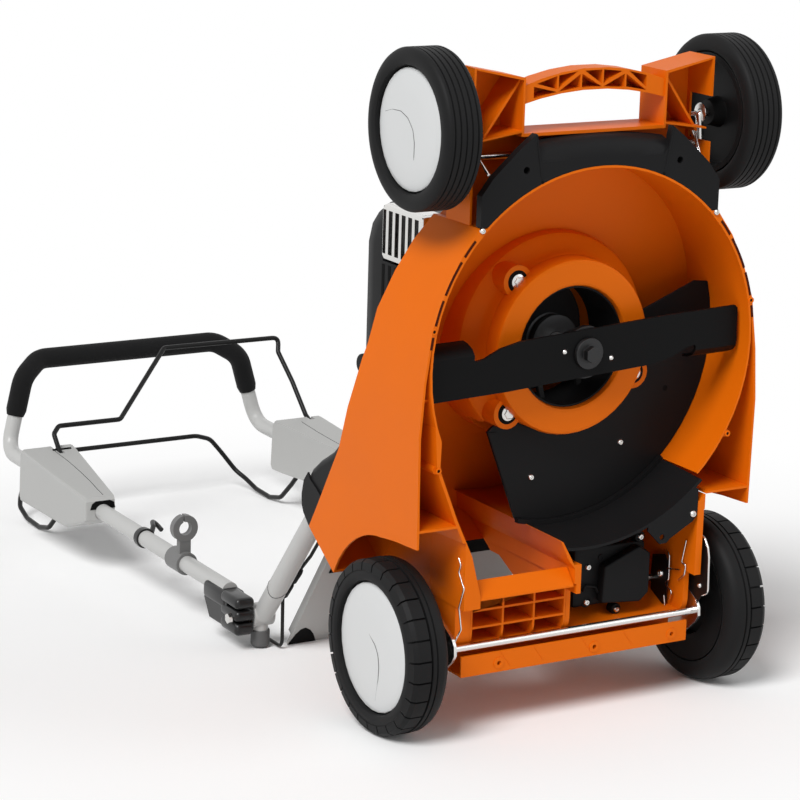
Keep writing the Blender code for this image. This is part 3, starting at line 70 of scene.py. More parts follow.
def moulded_group():
    """Shader group: broad shading of a moulded surface and the fine grain of its mould."""
    group = bpy.data.node_groups.new("moulded_grain", "ShaderNodeTree")
    for name, kind, value in (("Colour", "NodeSocketColor", (0.5, 0.5, 0.5, 1.0)),
                              ("Shade", "NodeSocketFloat", 0.05), ("Rough", "NodeSocketFloat", 0.5),
                              ("Grain", "NodeSocketFloat", 900.0)):
        socket = group.interface.new_socket(name, in_out="INPUT", socket_type=kind)
        socket.default_value = value
    for name, kind in (("Colour", "NodeSocketColor"), ("Rough", "NodeSocketFloat"),
                       ("Height", "NodeSocketFloat")):
        group.interface.new_socket(name, in_out="OUTPUT", socket_type=kind)
    nodes, links = group.nodes, group.links
    given = nodes.new("NodeGroupInput")
    put = nodes.new("NodeGroupOutput")
    place = nodes.new("ShaderNodeTexCoord")
    broad = nodes.new("ShaderNodeTexNoise")
    broad.inputs["Scale"].default_value = 9.0
    broad.inputs["Detail"].default_value = 3.0
    fine = nodes.new("ShaderNodeTexNoise")
    fine.inputs["Detail"].default_value = 2.0
    links.new(place.outputs["Object"], broad.inputs["Vector"])
    links.new(place.outputs["Object"], fine.inputs["Vector"])
    links.new(given.outputs["Grain"], fine.inputs["Scale"])
    centred = nodes.new("ShaderNodeMath")
    centred.operation = "SUBTRACT"
    centred.inputs[1].default_value = 0.5
    links.new(broad.outputs["Fac"], centred.inputs[0])
    swing = nodes.new("ShaderNodeMath")
    swing.operation = "MULTIPLY_ADD"
    swing.inputs[2].default_value = 1.0
    links.new(centred.outputs[0], swing.inputs[0])
    links.new(given.outputs["Shade"], swing.inputs[1])
    tint = nodes.new("ShaderNodeVectorMath")
    tint.operation = "SCALE"
    links.new(given.outputs["Colour"], tint.inputs[0])
    links.new(swing.outputs[0], tint.inputs["Scale"])
    links.new(tint.outputs[0], put.inputs["Colour"])
    gloss = nodes.new("ShaderNodeMath")
    gloss.operation = "MULTIPLY_ADD"
    gloss.inputs[1].default_value = 0.16
    links.new(centred.outputs[0], gloss.inputs[0])
    links.new(given.outputs["Rough"], gloss.inputs[2])
    links.new(gloss.outputs[0], put.inputs["Rough"])
    links.new(fine.outputs["Fac"], put.inputs["Height"])
    return group


MOULDED = moulded_group()


def moulded(name, colour, rough, shade=0.10, grain=900.0, depth=0.00003, coat=0.0, sheen=0.0, gloss=0.3):
    """A moulded plastic, rubber or foam finish."""
    finish = bpy.data.materials.new(name)
    finish.use_nodes = True
    nodes, links = finish.node_tree.nodes, finish.node_tree.links
    shader = nodes["Principled BSDF"]
    shader.inputs["Specular IOR Level"].default_value = gloss
    shader.inputs["Coat Weight"].default_value = coat
    shader.inputs["Coat Roughness"].default_value = 0.25
    shader.inputs["Sheen Weight"].default_value = sheen
    look = nodes.new("ShaderNodeGroup")
    look.node_tree = MOULDED
    look.inputs["Colour"].default_value = (*colour, 1.0)
    look.inputs["Shade"].default_value = shade
    look.inputs["Rough"].default_value = rough
    look.inputs["Grain"].default_value = grain
    bump = nodes.new("ShaderNodeBump")
    bump.inputs["Strength"].default_value = 1.0
    bump.inputs["Distance"].default_value = depth
    links.new(look.outputs["Colour"], shader.inputs["Base Color"])
    links.new(look.outputs["Rough"], shader.inputs["Roughness"])
    links.new(look.outputs["Height"], bump.inputs["Height"])
    links.new(bump.outputs["Normal"], shader.inputs["Normal"])
    return finish


def mono_point(along, x):
    """A point a distance down the lower bar's line, at a side position."""
    y, z = MONO_TOP + MONO_RUN * along
    return (x, y, z)


def rounded(points, radius, steps=8):
    """A path with its corners rounded."""
    path = [Vector(points[0])]
    for before, corner, after in zip(points, points[1:], points[2:]):
        corner = Vector(corner)
        back = Vector(before) - corner
        ahead = Vector(after) - corner
        half = back.angle(ahead) / 2
        reach = min(radius / math.tan(half), back.length * 0.48, ahead.length * 0.48)
        first = corner + back.normalized() * reach
        last = corner + ahead.normalized() * reach
        for i in range(steps + 1):
            t = i / steps
            path.append(first * (1 - t) ** 2 + corner * 2 * t * (1 - t) + last * t ** 2)
    path.append(Vector(points[-1]))
    return path


CABLE_SHEATH = moulded("cable_sheath", (0.006, 0.006, 0.006), 0.42)


def cable_run(name, corners, body, node):
    """A length of the cable along its route, in place of its plain solid."""
    route = [LEAN @ point for point in rounded(corners, 0.014)]
    curve = bpy.data.curves.new(name, "CURVE")
    curve.dimensions = "3D"
    curve.bevel_depth = CABLE / 2
    curve.bevel_resolution = 4
    curve.use_fill_caps = True
    spline = curve.splines.new("POLY")
    spline.points.add(len(route) - 1)
    for point, at in zip(spline.points, route):
        point.co = (*at, 1.0)
    curve.materials.append(CABLE_SHEATH)
    run = bpy.data.objects.new(name, curve)
    bpy.context.scene.collection.objects.link(run)
    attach(run, body)
    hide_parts(node)


along_bar = [(0.050, -0.1868), (0.100, -0.1862), (0.150, -0.1775), (0.215, -0.1785), (0.262, -0.1865),
             (0.315, -0.1868)]
lower_run = [mono_point(along, x) for along, x in along_bar]
lower_run += [(-0.1855, 0.3905, -0.1335), (-0.1855, 0.4410, -0.1335), (-0.1855, 0.4410, -0.1080)]
cable_run("cable_on_lower_bar", lower_run, "chassis", "cable_lower")
beside = ARM_X + ARM_RADIUS + 0.0028
arm_run = [(beside, 0.5345, -0.067), (beside, 0.572, -0.067), (beside + 0.005, 0.592, -0.067),
           (beside + 0.005, 0.648, -0.067), (beside, 0.668, -0.067), (beside, 0.8935, -0.067)]
cable_run("cable_on_arm", arm_run, "upper_handle", "cable_upper")

# Studio: pale floor that fades into a white surround. One broad sun from the upper left gives
# the shadow on the floor and a weaker one from the right opens up the dark side.
floor_mesh = bpy.data.meshes.new("floor")
bm = bmesh.new()
bmesh.ops.create_circle(bm, cap_ends=True, segments=64, radius=60.0)
bm.to_mesh(floor_mesh)
bm.free()
floor = bpy.data.objects.new("floor", floor_mesh)
bpy.context.scene.collection.objects.link(floor)
floor.location.z = -0.0012
white = bpy.data.materials.new("studio_floor")
white.use_nodes = True
nodes, links = white.node_tree.nodes, white.node_tree.links
near = nodes["Principled BSDF"]
near.inputs["Base Color"].default_value = (1.0, 1.0, 1.0, 1.0)
near.inputs["Roughness"].default_value = 0.9
near.inputs["Specular IOR Level"].default_value = 0.0
place = nodes.new("ShaderNodeTexCoord")
reach = nodes.new("ShaderNodeVectorMath")
reach.operation = "LENGTH"
links.new(place.outputs["Object"], reach.inputs[0])
fade = nodes.new("ShaderNodeMapRange")
fade.interpolation_type = "SMOOTHSTEP"
fade.inputs["From Min"].default_value = 0.60
fade.inputs["From Max"].default_value = 1.35
links.new(reach.outputs["Value"], fade.inputs["Value"])
seen = nodes.new("ShaderNodeLightPath")
only = nodes.new("ShaderNodeMath")
only.operation = "MULTIPLY"
links.new(fade.outputs["Result"], only.inputs[0])
links.new(seen.outputs["Is Camera Ray"], only.inputs[1])
glow = nodes.new("ShaderNodeEmission")
blend = nodes.new("ShaderNodeMixShader")
links.new(only.outputs[0], blend.inputs["Fac"])
links.new(near.outputs[0], blend.inputs[1])
links.new(glow.outputs[0], blend.inputs[2])
links.new(blend.outputs[0], nodes["Material Output"].inputs["Surface"])
floor_mesh.materials.append(white)

world = bpy.data.worlds.new("studio")
bpy.context.scene.world = world
world.use_nodes = True
nodes, links = world.node_tree.nodes, world.node_tree.links
sky = nodes["Background"]
rays = nodes.new("ShaderNodeLightPath")
seen = nodes.new("ShaderNodeMath")
seen.operation = "MAXIMUM"
links.new(rays.outputs["Is Camera Ray"], seen.inputs[0])
shiny = nodes.new("ShaderNodeMath")
shiny.operation = "MAXIMUM"
links.new(rays.outputs["Is Glossy Ray"], shiny.inputs[0])
links.new(rays.outputs["Is Transmission Ray"], shiny.inputs[1])
links.new(shiny.outputs[0], seen.inputs[1])
level = nodes.new("ShaderNodeMapRange")
level.inputs["To Min"].default_value = 0.31
level.inputs["To Max"].default_value = 1.0
links.new(seen.outputs[0], level.inputs["Value"])
sky.inputs["Color"].default_value = (1.0, 1.0, 1.0, 1.0)
links.new(level.outputs["Result"], sky.inputs["Strength"])


def sun(name, way, strength, angle):
    """A lamp far away, shining along a direction."""
    light = bpy.data.lights.new(name, "SUN")
    light.energy = strength
    light.angle = math.radians(angle)
    stand = bpy.data.objects.new(name, light)
    bpy.context.scene.collection.objects.link(stand)
    stand.rotation_euler = Vector(way).to_track_quat("-Z", "Y").to_euler()


sun("key", (0.62, 0.42, -0.78), 2.5, 26.0)
sun("fill", (-0.75, 0.55, -0.40), 0.35, 40.0)
bpy.context.scene.view_settings.view_transform = "Standard"

# Deck: one orange moulding, an outer skirt round the cutting ring with thin ribs and screw
# bosses between them. Every edge of it is slightly rounded by the mould.
RIM_Y = -0.080
RING_Z = 0.371
ORANGE = moulded("orange_plastic", (0.73, 0.140, 0.002), 0.42, grain=1100.0, gloss=0.09)
BLACK = moulded("black_plastic", (0.0085, 0.0085, 0.0090), 0.45, shade=0.25, depth=0.00005, gloss=0.10)
# Painted shade: near-black faces laid where holes, slots and recesses lie in shadow.
PAINTED_SHADE = moulded("painted_shade", (0.003, 0.003, 0.003), 0.8, gloss=0.1)
# Painted shade: dark brown strips for the shadowed gaps between the ring and the outer skirt.
RIM_SLOT_SHADE = moulded("rim_slot_shade", (0.055, 0.006, 0.001), 0.7, gloss=0.1)


def eased(node, finish, width):
    """Gives a frame node its finish and the rounded edges of the real piece."""
    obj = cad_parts[node]
    obj.data.materials.clear()
    obj.data.materials.append(finish)
    obj.data.shade_smooth()
    weld = obj.modifiers.new("weld", "WELD")
    weld.merge_threshold = 0.00003
    flat = obj.modifiers.new("flat", "DECIMATE")
    flat.decimate_type = "DISSOLVE"
    flat.angle_limit = math.radians(0.3)
    edge = obj.modifiers.new("edge", "BEVEL")
    edge.width = width
    edge.segments = 2
    edge.limit_method = "ANGLE"
    edge.angle_limit = math.radians(34)
    shade = obj.modifiers.new("shade", "WEIGHTED_NORMAL")
    shade.keep_sharp = True


def piece(name, mesh, finish, body, slot, *stands_for):
    """Puts a mesh made in mower coordinates in the scene as a finished piece on its body."""
    mesh.transform(LEAN)
    mesh.name = name
    mesh.materials.clear()
    mesh.materials.append(finish)
    obj = bpy.data.objects.new(name, mesh)
    bpy.context.scene.collection.objects.link(obj)
    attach(obj, body)
    if stands_for:
        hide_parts(*stands_for)
    return obj


def as_mesh(bm, smooth=None):
    """The mesh of a bmesh with its doubles merged and its faces outwards."""
    bmesh.ops.remove_doubles(bm, verts=bm.verts, dist=0.00001)
    bmesh.ops.recalc_face_normals(bm, faces=bm.faces)
    mesh = bpy.data.meshes.new("piece")
    bm.to_mesh(mesh)
    bm.free()
    if smooth is not None:
        mesh.shade_smooth()
        mesh.set_sharp_from_angle(angle=math.radians(smooth))
    return mesh


def skin(rows, smooth=30):
    """A closed mesh through rows of points, each row a closed outline, with end faces."""
    bm = bmesh.new()
    rows = [[bm.verts.new(point) for point in row] for row in rows]
    for row, after in zip(rows, rows[1:]):
        for j in range(len(row)):
            k = (j + 1) % len(row)
            bm.faces.new((row[j], row[k], after[k], after[j]))
    bm.faces.new(rows[0])
    bm.faces.new(rows[-1])
    return as_mesh(bm, smooth)


def together(*meshes):
    """Several meshes as one."""
    bm = bmesh.new()
    for mesh in meshes:
        bm.from_mesh(mesh)
    joined = bpy.data.meshes.new("piece")
    bm.to_mesh(joined)
    bm.free()
    return joined


def frame_along(start, way):
    """A frame at start whose z axis points the given way."""
    return Matrix.Translation(start) @ Vector(way).to_track_quat("Z", "Y").to_matrix().to_4x4()


def spun(profile, start, way, steps=32, smooth=30):
    """A closed or axis-to-axis profile (radius, along) turned about a line."""
    bm = bmesh.new()
    row = [bm.verts.new((r, 0.0, along)) for r, along in profile]
    edges = [bm.edges.new(pair) for pair in zip(row, row[1:])]
    if profile[0][0] > 0.0:
        edges.append(bm.edges.new((row[-1], row[0])))
    bmesh.ops.spin(bm, geom=row + edges, cent=(0, 0, 0), axis=(0, 0, 1), angle=math.tau, steps=steps,
                   use_merge=True)
    mesh = as_mesh(bm, smooth)
    mesh.transform(frame_along(start, way))
    return mesh


def button(profile, steps, smooth=30):
    """A small turned part that points along z, to be set out in several places."""
    return spun(profile, (0, 0, 0), (0, 0, 1), steps, smooth)


def on_points_tree():
    """Copies of a piece set on points, each facing the point's own direction."""
    tree = bpy.data.node_groups.new("copies_on_points", "GeometryNodeTree")
    tree.interface.new_socket("Points", in_out="INPUT", socket_type="NodeSocketGeometry")
    for name, kind in (("Piece", "NodeSocketObject"), ("Size", "NodeSocketFloat"),
                       ("Finish", "NodeSocketMaterial")):
        tree.interface.new_socket(name, in_out="INPUT", socket_type=kind)
    tree.interface.new_socket("Copies", in_out="OUTPUT", socket_type="NodeSocketGeometry")
    nodes, links = tree.nodes, tree.links
    given = nodes.new("NodeGroupInput")
    put = nodes.new("NodeGroupOutput")
    facing = nodes.new("GeometryNodeInputNamedAttribute")
    facing.data_type = "FLOAT_VECTOR"
    facing.inputs["Name"].default_value = "facing"
    turn = nodes.new("FunctionNodeAlignRotationToVector")
    turn.axis = "Z"
    links.new(facing.outputs["Attribute"], turn.inputs["Vector"])
    source = nodes.new("GeometryNodeObjectInfo")
    links.new(given.outputs["Piece"], source.inputs["Object"])
    copy = nodes.new("GeometryNodeInstanceOnPoints")
    links.new(given.outputs["Points"], copy.inputs["Points"])
    links.new(source.outputs["Geometry"], copy.inputs["Instance"])
    links.new(turn.outputs["Rotation"], copy.inputs["Rotation"])
    links.new(given.outputs["Size"], copy.inputs["Scale"])
    finish_off(tree, copy.outputs["Instances"], given, put)
    return tree


def finish_off(tree, instances, given, put):
    """Ends a tree by making its copies real and giving them their finish."""
    real = tree.nodes.new("GeometryNodeRealizeInstances")
    paint = tree.nodes.new("GeometryNodeSetMaterial")
    tree.links.new(instances, real.inputs["Geometry"])
    tree.links.new(real.outputs["Geometry"], paint.inputs["Geometry"])
    tree.links.new(given.outputs["Finish"], paint.inputs["Material"])
    tree.links.new(paint.outputs["Geometry"], put.inputs[0])


def grown(mesh, tree, **values):
    """The plain mesh that a node tree makes of another mesh."""
    obj = bpy.data.objects.new("growing", mesh)
    bpy.context.scene.collection.objects.link(obj)
    step = obj.modifiers.new("grow", "NODES")
    step.node_group = tree
    for socket in tree.interface.items_tree:
        if socket.in_out == "INPUT" and socket.name in values:
            step[socket.identifier] = values[socket.name]
    bpy.context.view_layer.update()
    graph = bpy.context.evaluated_depsgraph_get()
    made = bpy.data.meshes.new_from_object(obj.evaluated_get(graph), preserve_all_data_layers=True,
                                           depsgraph=graph)
    bpy.data.objects.remove(obj)
    return made


ON_POINTS = on_points_tree()


def set_out(name, template, places, finish, body, slot, size=1.0):
    """Copies of a small part at (place, direction) pairs, as one piece on a body."""
    bm = bmesh.new()
    for at, _ in places:
        bm.verts.new(at)
    points = bpy.data.meshes.new("points")
    bm.to_mesh(points)
    bm.free()
    facing = points.attributes.new("facing", "FLOAT_VECTOR", "POINT")
    for item, (_, way) in zip(facing.data, places):
        item.vector = way
    pattern = bpy.data.objects.new("pattern", template)
    bpy.context.scene.collection.objects.link(pattern)
    made = grown(points, ON_POINTS, Piece=pattern, Size=size, Finish=finish)
    bpy.data.objects.remove(pattern)
    return piece(name, made, finish, body, slot)


def round_ring(radius, turn, y):
    """A point about the crankshaft's line, its turn in degrees from straight ahead."""
    return (radius * math.sin(math.radians(turn)), y, RING_Z + radius * math.cos(math.radians(turn)))


def part_round(section, start, end, steps):
    """A closed section (radius, y) swept round the crankshaft's line between two turns."""
    turns = [start + (end - start) * i / steps for i in range(steps + 1)]
    return skin([[round_ring(r, turn, y) for r, y in section] for turn in turns])


eased("deck_shell", ORANGE, 0.0007)
DOWN = (0.0, -1.0, 0.0)
boss_places = [(0.238, 0.423), (-0.238, 0.423), (0.2125, 0.248), (-0.2255, 0.247)]
bosses = [((x, RIM_Y, z), DOWN) for x, z in boss_places]
boss_ring = button([(0.0021, 0.0), (0.0021, 0.0009), (0.0026, 0.0012), (0.0036, 0.0012),
                    (0.0041, 0.0009), (0.0041, 0.0)], 20)
set_out("deck_boss_rings", boss_ring, bosses, ORANGE, "chassis", "orange_plastic")
# The bosses' screw holes are near-black discs of painted shade.
pit = button([(0.0, 0.0003), (0.0018, 0.0003), (0.0021, 0.0), (0.0, 0.0)], 16)
set_out("deck_boss_pits", pit, bosses, PAINTED_SHADE, "chassis", "black_plastic")
# The gaps between the ring and the outer skirt are thin dark strips of painted shade.
groove = [(0.2416, RIM_Y - 0.0003), (0.2450, RIM_Y - 0.0003), (0.2450, RIM_Y), (0.2416, RIM_Y)]
slots = [part_round(groove, side * start, side * end, 8) for side in (-1, 1)
         for start, end in ((49.0, 54.6), (56.2, 66.8), (68.4, 76.0), (79.3, 83.0))]
piece("deck_rim_slots", together(*slots), RIM_SLOT_SHADE, "chassis", "orange_plastic")
shoulder = [(0.1152, -0.004), (0.1175, 0.004), (0.122, 0.010), (0.133, 0.016), (0.139, 0.021),
            (0.1415, 0.028), (0.142, 0.070), (0.1152, 0.070)]
piece("deck_shoulder", part_round(shoulder, -135, 72, 60), ORANGE, "chassis", "orange_plastic")

# Front frame: orange open boxes that carry the front axle, with a truss-ribbed carry handle.
# It is one moulding in the deck's plastic, fixed to the deck's front.
eased("front_frame", ORANGE, 0.0006)

# Front skirt: black moulding that rounds off the ring's front. Each side has a flat lobe with a raised
# bead, a small pit drawn as a near-black disc of painted shade, and the bright screw that holds it to the
# rim.
eased("front_skirt", BLACK, 0.0020)


def wire(path, radius, sides=8, ends=1.0):
    """A round bar along a path, its two tips narrowed to a share of its radius."""
    path = [Vector(point) for point in path]
    turns = [math.tau * j / sides for j in range(sides)]
    rows = []
    side = None
    for i, at in enumerate(path):
        way = (path[min(i + 1, len(path) - 1)] - path[max(i - 1, 0)]).normalized()
        if side is None:
            side = way.orthogonal()
        side = (side - way * side.dot(way)).normalized()
        up = way.cross(side)
        r = radius * (ends if i in (0, len(path) - 1) else 1.0)
        rows.append([at + (side * math.cos(turn) + up * math.sin(turn)) * r for turn in turns])
    return skin(rows, 50)


beads = [wire([(side * 0.101, -0.0796, 0.656), (side * 0.0965, -0.0799, 0.628),
               (side * 0.092, -0.0796, 0.602)], 0.0012) for side in (-1, 1)]
piece("front_skirt_beads", together(*beads), BLACK, "chassis", "black_plastic")
small_pit = button([(0.0, 0.0003), (0.0019, 0.0003), (0.0022, 0.0), (0.0, 0.0)], 16)
lobe_pits = [((side * 0.0905, RIM_Y, 0.597), DOWN) for side in (-1, 1)]
set_out("front_skirt_pits", small_pit, lobe_pits, PAINTED_SHADE, "chassis", "black_plastic")

# Rear skirt and belt cover: black plates screwed under the deck over the belt and gearbox.
# The liner of the hub opening and the cover's edge and fold are of the same plastic.
eased("rear_skirt", BLACK, 0.0006)
eased("belt_cover", BLACK, 0.0008)


def metal_group():
    """Shader group: drawn or rolled metal, its lines running along one axis."""
    group = bpy.data.node_groups.new("drawn_metal", "ShaderNodeTree")
    for name, kind, value in (("Stretch", "NodeSocketVector", (1.0, 1.0, 1.0)),
                              ("Rough", "NodeSocketFloat", 0.3), ("Spread", "NodeSocketFloat", 0.12)):
        socket = group.interface.new_socket(name, in_out="INPUT", socket_type=kind)
        socket.default_value = value
    for name, kind in (("Rough", "NodeSocketFloat"), ("Height", "NodeSocketFloat")):
        group.interface.new_socket(name, in_out="OUTPUT", socket_type=kind)
    nodes, links = group.nodes, group.links
    given = nodes.new("NodeGroupInput")
    put = nodes.new("NodeGroupOutput")
    place = nodes.new("ShaderNodeTexCoord")
    pull = nodes.new("ShaderNodeVectorMath")
    pull.operation = "MULTIPLY"
    links.new(place.outputs["Object"], pull.inputs[0])
    links.new(given.outputs["Stretch"], pull.inputs[1])
    lines = nodes.new("ShaderNodeTexNoise")
    lines.inputs["Scale"].default_value = 1.0
    lines.inputs["Detail"].default_value = 3.0
    links.new(pull.outputs[0], lines.inputs["Vector"])
    gloss = nodes.new("ShaderNodeMath")
    gloss.operation = "MULTIPLY_ADD"
    links.new(lines.outputs["Fac"], gloss.inputs[0])
    links.new(given.outputs["Spread"], gloss.inputs[1])
    links.new(given.outputs["Rough"], gloss.inputs[2])
    links.new(gloss.outputs[0], put.inputs["Rough"])
    links.new(lines.outputs["Fac"], put.inputs["Height"])
    return group


METAL = metal_group()


def metal(name, colour, rough, stretch=(20.0, 900.0, 900.0), spread=0.12, metallic=1.0, gloss=0.5):
    """A metal finish with its drawing lines."""
    finish = bpy.data.materials.new(name)
    finish.use_nodes = True
    nodes, links = finish.node_tree.nodes, finish.node_tree.links
    shader = nodes["Principled BSDF"]
    shader.inputs["Base Color"].default_value = (*colour, 1.0)
    shader.inputs["Metallic"].default_value = metallic
    shader.inputs["Specular IOR Level"].default_value = gloss
    look = nodes.new("ShaderNodeGroup")
    look.node_tree = METAL
    look.inputs["Stretch"].default_value = stretch
    look.inputs["Rough"].default_value = rough
    look.inputs["Spread"].default_value = spread
    bump = nodes.new("ShaderNodeBump")
    bump.inputs["Strength"].default_value = 0.5
    bump.inputs["Distance"].default_value = 0.00002
    links.new(look.outputs["Rough"], shader.inputs["Roughness"])
    links.new(look.outputs["Height"], bump.inputs["Height"])
    links.new(bump.outputs["Normal"], shader.inputs["Normal"])
    return finish


STEEL = metal("zinc_steel", (0.72, 0.71, 0.69), 0.16)


def screw_head():
    """A pan-head screw with a socket, pointing along z."""
    return button([(0.0, 0.0012), (0.0014, 0.0012), (0.0017, 0.0026), (0.0027, 0.0026),
                   (0.0036, 0.0018), (0.0040, 0.0), (0.0, 0.0)], 20, 40)


def slab(outline, axis, low, high):
    """A flat plate: an outline across one axis (0 x, 1 y, 2 z), between two levels."""
    rows = []
    for level in (low, high):
        rows.append([(*point[:axis], level, *point[axis:]) for point in outline])
    return skin(rows, 25)


lobe_screws = [((side * 0.1745, RIM_Y, 0.5425), DOWN) for side in (-1, 1)]
set_out("front_skirt_screws", screw_head(), lobe_screws, STEEL, "chassis", "bright_steel", 1.05)
edge_strip = [(0.2334, -0.0042), (0.2391, -0.0042), (0.2391, 0.0028), (0.2334, 0.0028)]
piece("belt_cover_edge", part_round(edge_strip, 135.5, 194.0, 30), BLACK, "chassis", "black_plastic")
liner = [(0.0762, -0.0225), (0.0784, -0.0225), (0.0784, 0.0500), (0.0762, 0.0500)]
piece("hub_liner", part_round(liner, 0, 359.9, 72), BLACK, "chassis", "black_plastic")
fold_outline = [(-0.1035, 0.2625), (-0.0570, 0.1450), (-0.0440, 0.1430), (-0.0905, 0.2610)]
fold = slab(fold_outline, 1, 0.0026, 0.0041)
piece("belt_cover_fold", fold, BLACK, "chassis", "black_plastic")
cover_screws = [((0.102, 0.004, 0.228), DOWN), ((-0.035, 0.004, 0.196), DOWN)]
set_out("belt_cover_screws", screw_head(), cover_screws, STEEL, "chassis", "bright_steel", 1.1)
# The hole in the belt cover is a near-black disc of painted shade.
cover_hole = button([(0.0, 0.0002), (0.0034, 0.0002), (0.0038, 0.0), (0.0, 0.0)], 20)
set_out("belt_cover_hole", cover_hole, [((0.170, 0.004, 0.294), DOWN)], PAINTED_SHADE, "chassis", "black_plastic")
set_out("rear_skirt_screw", screw_head(), [((0.164, RIM_Y, 0.145), DOWN)], STEEL, "chassis",
        "bright_steel", 1.2)

# Chute ramp and rear lip: orange mouldings under the cross rod, stiffened by ribs. The four
# slanted ribs of the lip are too thin to be solids, so they are added here.
eased("chute_ramp", ORANGE, 0.0005)
eased("rear_lip", ORANGE, 0.0006)
lip_ribs = [wire([(x - 0.010, -0.0662, -0.0070), (x + 0.0045, -0.0662, -0.0270)], 0.0012, 6, 0.4)
            for x in (-0.1056, -0.0556, 0.0184, 0.0827)]
piece("lip_ribs", together(*lip_ribs), ORANGE, "chassis", "orange_plastic")

# Gearbox: black two-part case hung on the drive shaft, closed by a plate with four screws.
# A breather, a short hose and a bent steel wire clip sit on the plate.
eased("gearbox_case", BLACK, 0.0008)
eased("gearbox_cover", BLACK, 0.0008)
BOX_SCREWS = [(0.037, -0.030, 0.075), (0.037, -0.030, 0.027), (0.085, -0.030, 0.011),
              (0.118, -0.030, 0.106)]
ear = button([(0.0, 0.0), (0.0068, 0.0), (0.0074, -0.0008), (0.0074, -0.012), (0.0, -0.012)], 20)
set_out("gearbox_ears", ear, [(at, DOWN) for at in BOX_SCREWS], BLACK, "chassis", "black_plastic")
set_out("gearbox_screws", screw_head(), [(at, DOWN) for at in BOX_SCREWS], STEEL, "chassis",
        "bright_steel", 1.15)
vent = button([(0.0030, 0.0), (0.0030, 0.0010), (0.0036, 0.0014), (0.0046, 0.0014), (0.0052, 0.0)], 24)
set_out("gearbox_vent", vent, [((0.0572, -0.030, 0.0853), DOWN)], BLACK, "chassis", "black_plastic")
hose = wire(rounded([(0.0300, -0.0320, 0.0430), (0.0300, -0.0350, 0.0520), (0.0480, -0.0350, 0.0475),
                     (0.0510, -0.0350, 0.0400)], 0.005, 4), 0.0016)
piece("gearbox_hose", hose, BLACK, "chassis", "black_plastic")
loop = [(0.0185 + 0.0040 * math.cos(t), -0.0345, 0.0775 + 0.0048 * math.sin(t))
        for t in (math.tau * i / 24 for i in range(24))]
clip = together(wire(loop[2:] + loop[:1], 0.0007, 6),
                wire([(0.0150, -0.0340, 0.0790), (0.0225, -0.0340, 0.0765)], 0.0006, 6),
                wire([(0.0148, -0.0340, 0.0765), (0.0222, -0.0340, 0.0740)], 0.0006, 6))
piece("gearbox_wire_clip", clip, STEEL, "chassis", "bright_steel")

# Drive: turned pulleys on crankshaft and gearbox joined by a rubber V belt, and a steel shaft
# that ends in a pinion inside each rear wheel.
PULLEY = metal("turned_pulley", (0.060, 0.060, 0.062), 0.42, (700.0, 40.0, 700.0))
BELT = moulded("belt_rubber", (0.012, 0.012, 0.012), 0.7, shade=0.3, grain=1500.0, depth=0.0001)
for node in ("crank_pulley", "gearbox_pulley"):
    eased(node, PULLEY, 0.0003)
eased("v_belt", BELT, 0.0004)
for node in ("drive_shaft", "pinion_left", "pinion_right", "crankshaft"):
    eased(node, STEEL, 0.0002)

# Height adjustment: zinc-plated plates and rod at the rear, one bent bar at the front. A dark
# pressed shield and bracket, washers, screws and thin pull springs are fixed beside them.
eased("rear_frame", STEEL, 0.0003)
eased("height_lever", BLACK, 0.0008)
eased("front_axle", STEEL, 0.0002)
DARK_STEEL = metal("dark_steel", (0.045, 0.045, 0.046), 0.40, (300.0, 300.0, 300.0))
edge_line = [(-0.0560, 0.1130), (-0.0769, 0.1079), (-0.0850, 0.0965), (-0.0880, 0.0850),
             (-0.0902, 0.0362), (-0.0790, 0.0305)]
shield = slab(edge_line + [(-0.0700, 0.0169), (-0.0548, 0.0002), (-0.0450, 0.0060),
                           (-0.0400, 0.0600)], 0, 0.1862, 0.1874)
piece("rear_frame_shield", shield, DARK_STEEL, "rear_axle_frame", "dark_steel")
flange = wire([(0.1880, y, z) for y, z in rounded([Vector(p) for p in edge_line], 0.012, 4)], 0.0016)
piece("rear_frame_flange", flange, STEEL, "rear_axle_frame", "bright_steel")
set_out("rear_frame_rivet", screw_head(), [((0.1862, -0.0740, 0.0425), (-1.0, 0.0, 0.0))], STEEL,
        "rear_axle_frame", "bright_steel", 0.9)
bracket = slab([(0.0058, 0.0658), (-0.0212, 0.0734), (-0.0300, 0.0640), (-0.0323, 0.0503),
                (-0.0290, 0.0260), (-0.0277, -0.0012), (-0.0053, -0.0060), (0.0060, 0.0154),
                (0.0081, 0.0386)], 0, 0.1655, 0.1670)
BRACKET_BOLT = (0.1655, -0.0145, 0.0451)
stand = spun([(0.0, 0.0065), (0.0050, 0.0065), (0.0050, 0.0), (0.0, 0.0)], BRACKET_BOLT,
             (1.0, 0.0, 0.0), 16)
piece("height_bracket", together(bracket, stand), DARK_STEEL, "chassis", "dark_steel")
set_out("height_bracket_bolt", screw_head(), [(BRACKET_BOLT, (-1.0, 0.0, 0.0))], STEEL, "chassis",
        "bright_steel", 1.3)
